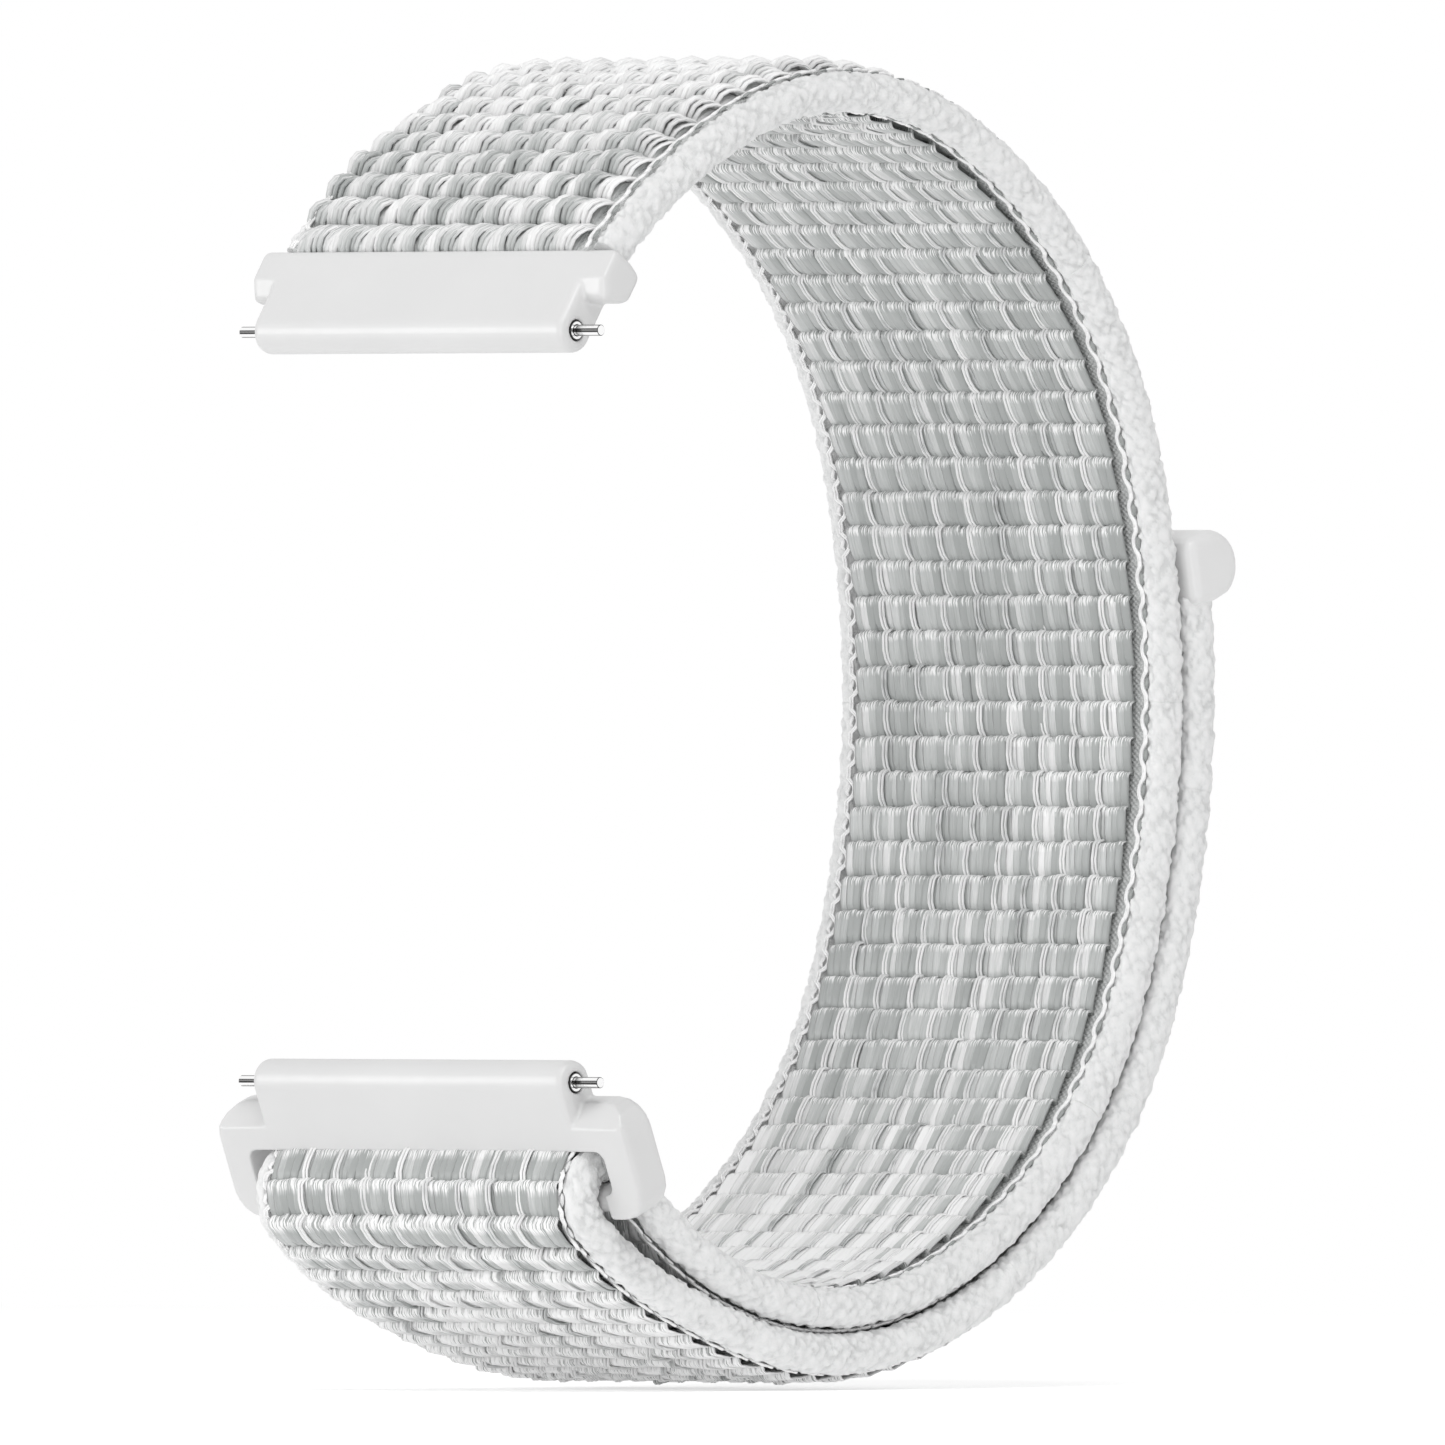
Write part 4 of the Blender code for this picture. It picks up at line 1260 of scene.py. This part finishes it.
def blacken(piece, chosen):
    """Paints black shadow on the faces of a turned piece whose middles, in millimetres, are chosen."""
    piece.data.materials.append(SHADOW_LINE)
    for face in piece.data.polygons:
        if chosen(face.center / MM):
            face.material_index = 1


def build_tube(prefix, centre, body):
    """The tube of one bar, crimped at both ends, with painted black shadow on its outside and rim for
    the gap round it.
    """
    half, edge = TUBE_HALF_LENGTH, TUBE_RADIUS - TUBE_EDGE
    outside = [(half - TUBE_EDGE, TUBE_RADIUS), (half, edge), (half, TUBE_RADIUS - TUBE_RIM),
               (half, TUBE_MOUTH)]
    inside = [(half - TUBE_CRIMP, TUBE_MOUTH), (half - TUBE_CRIMP, TUBE_BORE)]
    profile = [(-across, radius) for across, radius in reversed(outside)] + outside + inside
    profile += [(-across, radius) for across, radius in reversed(inside)]
    tube = turned(prefix + "_tube_turned", profile, centre, closed=True)
    axis = Vector((centre[0], 0.0, centre[1]))
    blacken(tube, lambda middle: (middle - axis).xz.length > TUBE_SHADOW_FROM)
    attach(tube, body)
    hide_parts(prefix + "_bar_tube")


def build_plunger(prefix, centre, side, sign):
    """A plunger of one bar, turned finer than the CAD one, with a painted shadow line round its tip.
    """
    node = prefix + "_bar_" + side + "_plunger"
    low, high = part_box(node)
    inner, tip = sorted((abs(low[1]) / MM, abs(high[1]) / MM))
    shoulder = TUBE_HALF_LENGTH - TUBE_CRIMP - SHANK_GAP
    profile = [(inner, 0.0), (inner, SHANK_RADIUS), (shoulder, SHANK_RADIUS),
               (shoulder, TIP_RADIUS), (tip - TIP_CHAMFER_LENGTH, TIP_RADIUS),
               (tip, TIP_RADIUS - TIP_CHAMFER_DEPTH), (tip, 0.0)]
    profile = [(sign * across, radius) for across, radius in profile]
    plunger = turned(prefix + "_" + side + "_plunger_turned", profile, centre, closed=False)
    # The chamfer's faces are painted black as shadow.
    blacken(plunger, lambda middle: tip - 0.02 < abs(middle.y) < tip - 0.005)
    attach(plunger, prefix + "_" + side + "_plunger")
    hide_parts(node)


def coil(name, centre, end):
    """A closed coil of wire round a bar's axis, from the bar's middle to a distance across."""
    count = SPRING_TURNS * SPRING_STEPS
    along = Vector((0.0, 1.0, 0.0))
    corners = [2.0 * math.pi * corner / SPRING_WIRE_SIDES for corner in range(SPRING_WIRE_SIDES)]
    rings = []
    for index in range(count + 1):
        angle = 2.0 * math.pi * index / SPRING_STEPS
        spoke = Vector((math.cos(angle), 0.0, math.sin(angle)))
        middle = Vector((centre[0], end * index / count, centre[1])) + spoke * SPRING_RADIUS
        rings.append([
            middle + (spoke * math.cos(turn) + along * math.sin(turn)) * SPRING_WIRE_RADIUS
            for turn in corners])
    mesh = lofted(name, rings)
    mesh.materials.append(WIRE)
    return finished(name, mesh)


def build_spring(prefix, centre, body):
    """The spring inside one bar, in two halves from the bar's middle out to each end."""
    node = prefix + "_bar_spring"
    low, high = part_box(node)
    for side, end in (("near", low[1] / MM), ("far", high[1] / MM)):
        coil_end = end - math.copysign(SPRING_WIRE_RADIUS, end)
        half = coil(prefix + "_" + side + "_half_spring", centre, coil_end)
        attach(half, body)
        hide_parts(node)
        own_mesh(half)


# Hook strip

def make_hook_field():
    """Tree: rows of small bent hooks on a strip."""
    tree = GeometryTree("hook_field", {
        "Strip": "Object", "Hook": "Object", "Hooks Across": HOOKS_ACROSS,
        "Hook Spacing": HOOK_SPACING, "Seat": HOOK_SEAT, "Seed": 11, "Material": "Material"})
    given = tree.given
    field = tree.group(LAID_STRANDS, {
        "Geometry": given["Geometry"], "Strand": tree.shape_of(given["Hook"]), "Face": 1.0,
        "Count": given["Hooks Across"], "Spacing": given["Hook Spacing"], "Seat": given["Seat"],
        "Stagger": 0.03, "Drift": 0.03, "Material": given["Material"], "Seed": given["Seed"]})[0]
    return tree.finish(tree.joined([tree.shape_of(given["Strip"]), field]))


def build_hook_strip():
    """The strip of hooks on the tail's inner face."""
    bend = arc_start("tail_tip")
    start, end = arc_start("tail_middle") + HOOKS_FROM, bend + HOOKS_TO
    hook_line = [(-0.2, 0.0, 0.0), (-0.16, 0.0, 0.14), (-0.04, 0.0, 0.24), (0.1, 0.0, 0.24),
                 (0.18, 0.0, 0.15)]
    hook = new_object("hook", strand_mesh("hook", hook_line, 0.06, 0.06, sides=5, end_share=0.7))
    strip = swept_strip("strip", start, end, HOOK_STRIP_LOW, HOOK_STRIP_HIGH,
                        HOOK_STRIP_HALF_WIDTH, HOOK_NYLON)
    count = round((end - start) / HOOK_PITCH)
    stations = [start + HOOK_PITCH * (index + 0.5) for index in range(count)]
    mesh = run_tree("hook_strip", rows_mesh(stations), make_hook_field(),
                    {"Strip": strip, "Hook": hook, "Material": HOOK_NYLON})
    bpy.data.objects.remove(strip)
    bpy.data.objects.remove(hook)
    piece = finished("hook_strip", mesh)
    hold(piece, "tail_middle", "tail_tip", bend)
    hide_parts("hook_patch_lower", "hook_patch_upper")


# Studio

def build_floor():
    """A plain white floor under the lower of the CAD part and the dressed one."""
    low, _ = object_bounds()
    height = min(low[2], cad_low[2]) - FLOOR_GAP
    signs = ((-1.0, -1.0), (1.0, -1.0), (1.0, 1.0), (-1.0, 1.0))
    mesh = bpy.data.meshes.new("floor")
    corners = [(x * FLOOR_REACH, y * FLOOR_REACH, height) for x, y in signs]
    mesh.from_pydata(corners, [], [(0, 1, 2, 3)])
    floor = new_object("floor", mesh)
    made = bpy.data.materials.new("white_floor")
    made.use_nodes = True
    made.node_tree.nodes.clear()
    tree = Tree(made.node_tree)
    diffuse = tree.add("ShaderNodeBsdfDiffuse", {"Color": (0.95, 0.95, 0.95, 1.0)})[0]
    seen = tree.add("ShaderNodeLightPath")["Is Camera Ray"] * 0.15 + 0.25
    glow = tree.add("ShaderNodeEmission", {"Color": WHITE, "Strength": seen})[0]
    mixed = tree.add("ShaderNodeAddShader", {0: diffuse, 1: glow})[0]
    tree.add("ShaderNodeOutputMaterial", {"Surface": mixed})
    mesh.materials.append(made)


def build_world():
    """A soft white world that shows as plain white to the camera and in reflections."""
    world = bpy.data.worlds.new("studio")
    bpy.context.scene.world = world
    world.use_nodes = True
    world.node_tree.nodes.clear()
    tree = Tree(world.node_tree)
    rays = tree.add("ShaderNodeLightPath")
    mirrored = tree.math("MAXIMUM", rays["Is Glossy Ray"], rays["Is Transmission Ray"])
    shown = tree.math("MAXIMUM", rays["Is Camera Ray"], mirrored)
    soft, white = (tree.add("ShaderNodeBackground", {"Color": WHITE, "Strength": strength})[0]
                   for strength in (WORLD_LIGHT, 1.0))
    mixed = tree.add("ShaderNodeMixShader", {0: shown, 1: soft, 2: white})[0]
    tree.add("ShaderNodeOutputWorld", {"Surface": mixed})


def build_lamps():
    """Soft light from above and from both sides in front."""
    for name, place, size, power in LAMPS:
        lamp = bpy.data.lights.new(name, "AREA")
        lamp.shape = "DISK"
        lamp.size = size
        lamp.energy = power
        item = new_object(name, lamp)
        item.location = place
        direction = Vector(AIM) * MM - Vector(place)
        item.rotation_euler = direction.to_track_quat("-Z", "Y").to_euler()


def build_camera():
    """The camera at the photo's viewing angle, far off with a long lens."""
    camera = bpy.data.cameras.new("camera")
    camera.sensor_width = SENSOR_WIDTH
    camera.lens = CAMERA_LENS
    camera.clip_start = 0.01
    camera.clip_end = 10.0
    item = new_object("camera", camera)
    azimuth = math.radians(CAMERA_AZIMUTH)
    back = Vector((math.sin(azimuth), -math.cos(azimuth), 0.0))
    distance = PICTURE_WIDTH * MM * CAMERA_LENS / SENSOR_WIDTH
    item.location = Vector(AIM) * MM + back * distance
    item.rotation_mode = "QUATERNION"
    item.rotation_quaternion = (-back).to_track_quat("-Z", "Y")
    bpy.context.scene.camera = item


build_band()
build_hook_strip()
build_moulding(
    "upper_adapter", "upper_adapter_moulding", "upper_adapter", PLASTIC, UPPER_BAR, UPPER_LEAN)
build_moulding(
    "lower_adapter_frame", "lower_adapter_moulding", "lower_adapter", PLASTIC, LOWER_BAR, LOWER_LEAN)
build_moulding("tail_tab", "tail_tab_moulding", "tail_tip", TAB_PLASTIC)
for bar, bar_centre in (("upper", UPPER_BAR), ("lower", LOWER_BAR)):
    build_tube(bar, bar_centre, bar + "_adapter")
    build_plunger(bar, bar_centre, "near", -1.0)
    build_plunger(bar, bar_centre, "far", 1.0)
build_spring("upper", UPPER_BAR, "upper_adapter")
build_spring("lower", LOWER_BAR, "lower_adapter")
bpy.context.scene.view_settings.view_transform = "Standard"
build_floor()
build_world()
build_lamps()
build_camera()
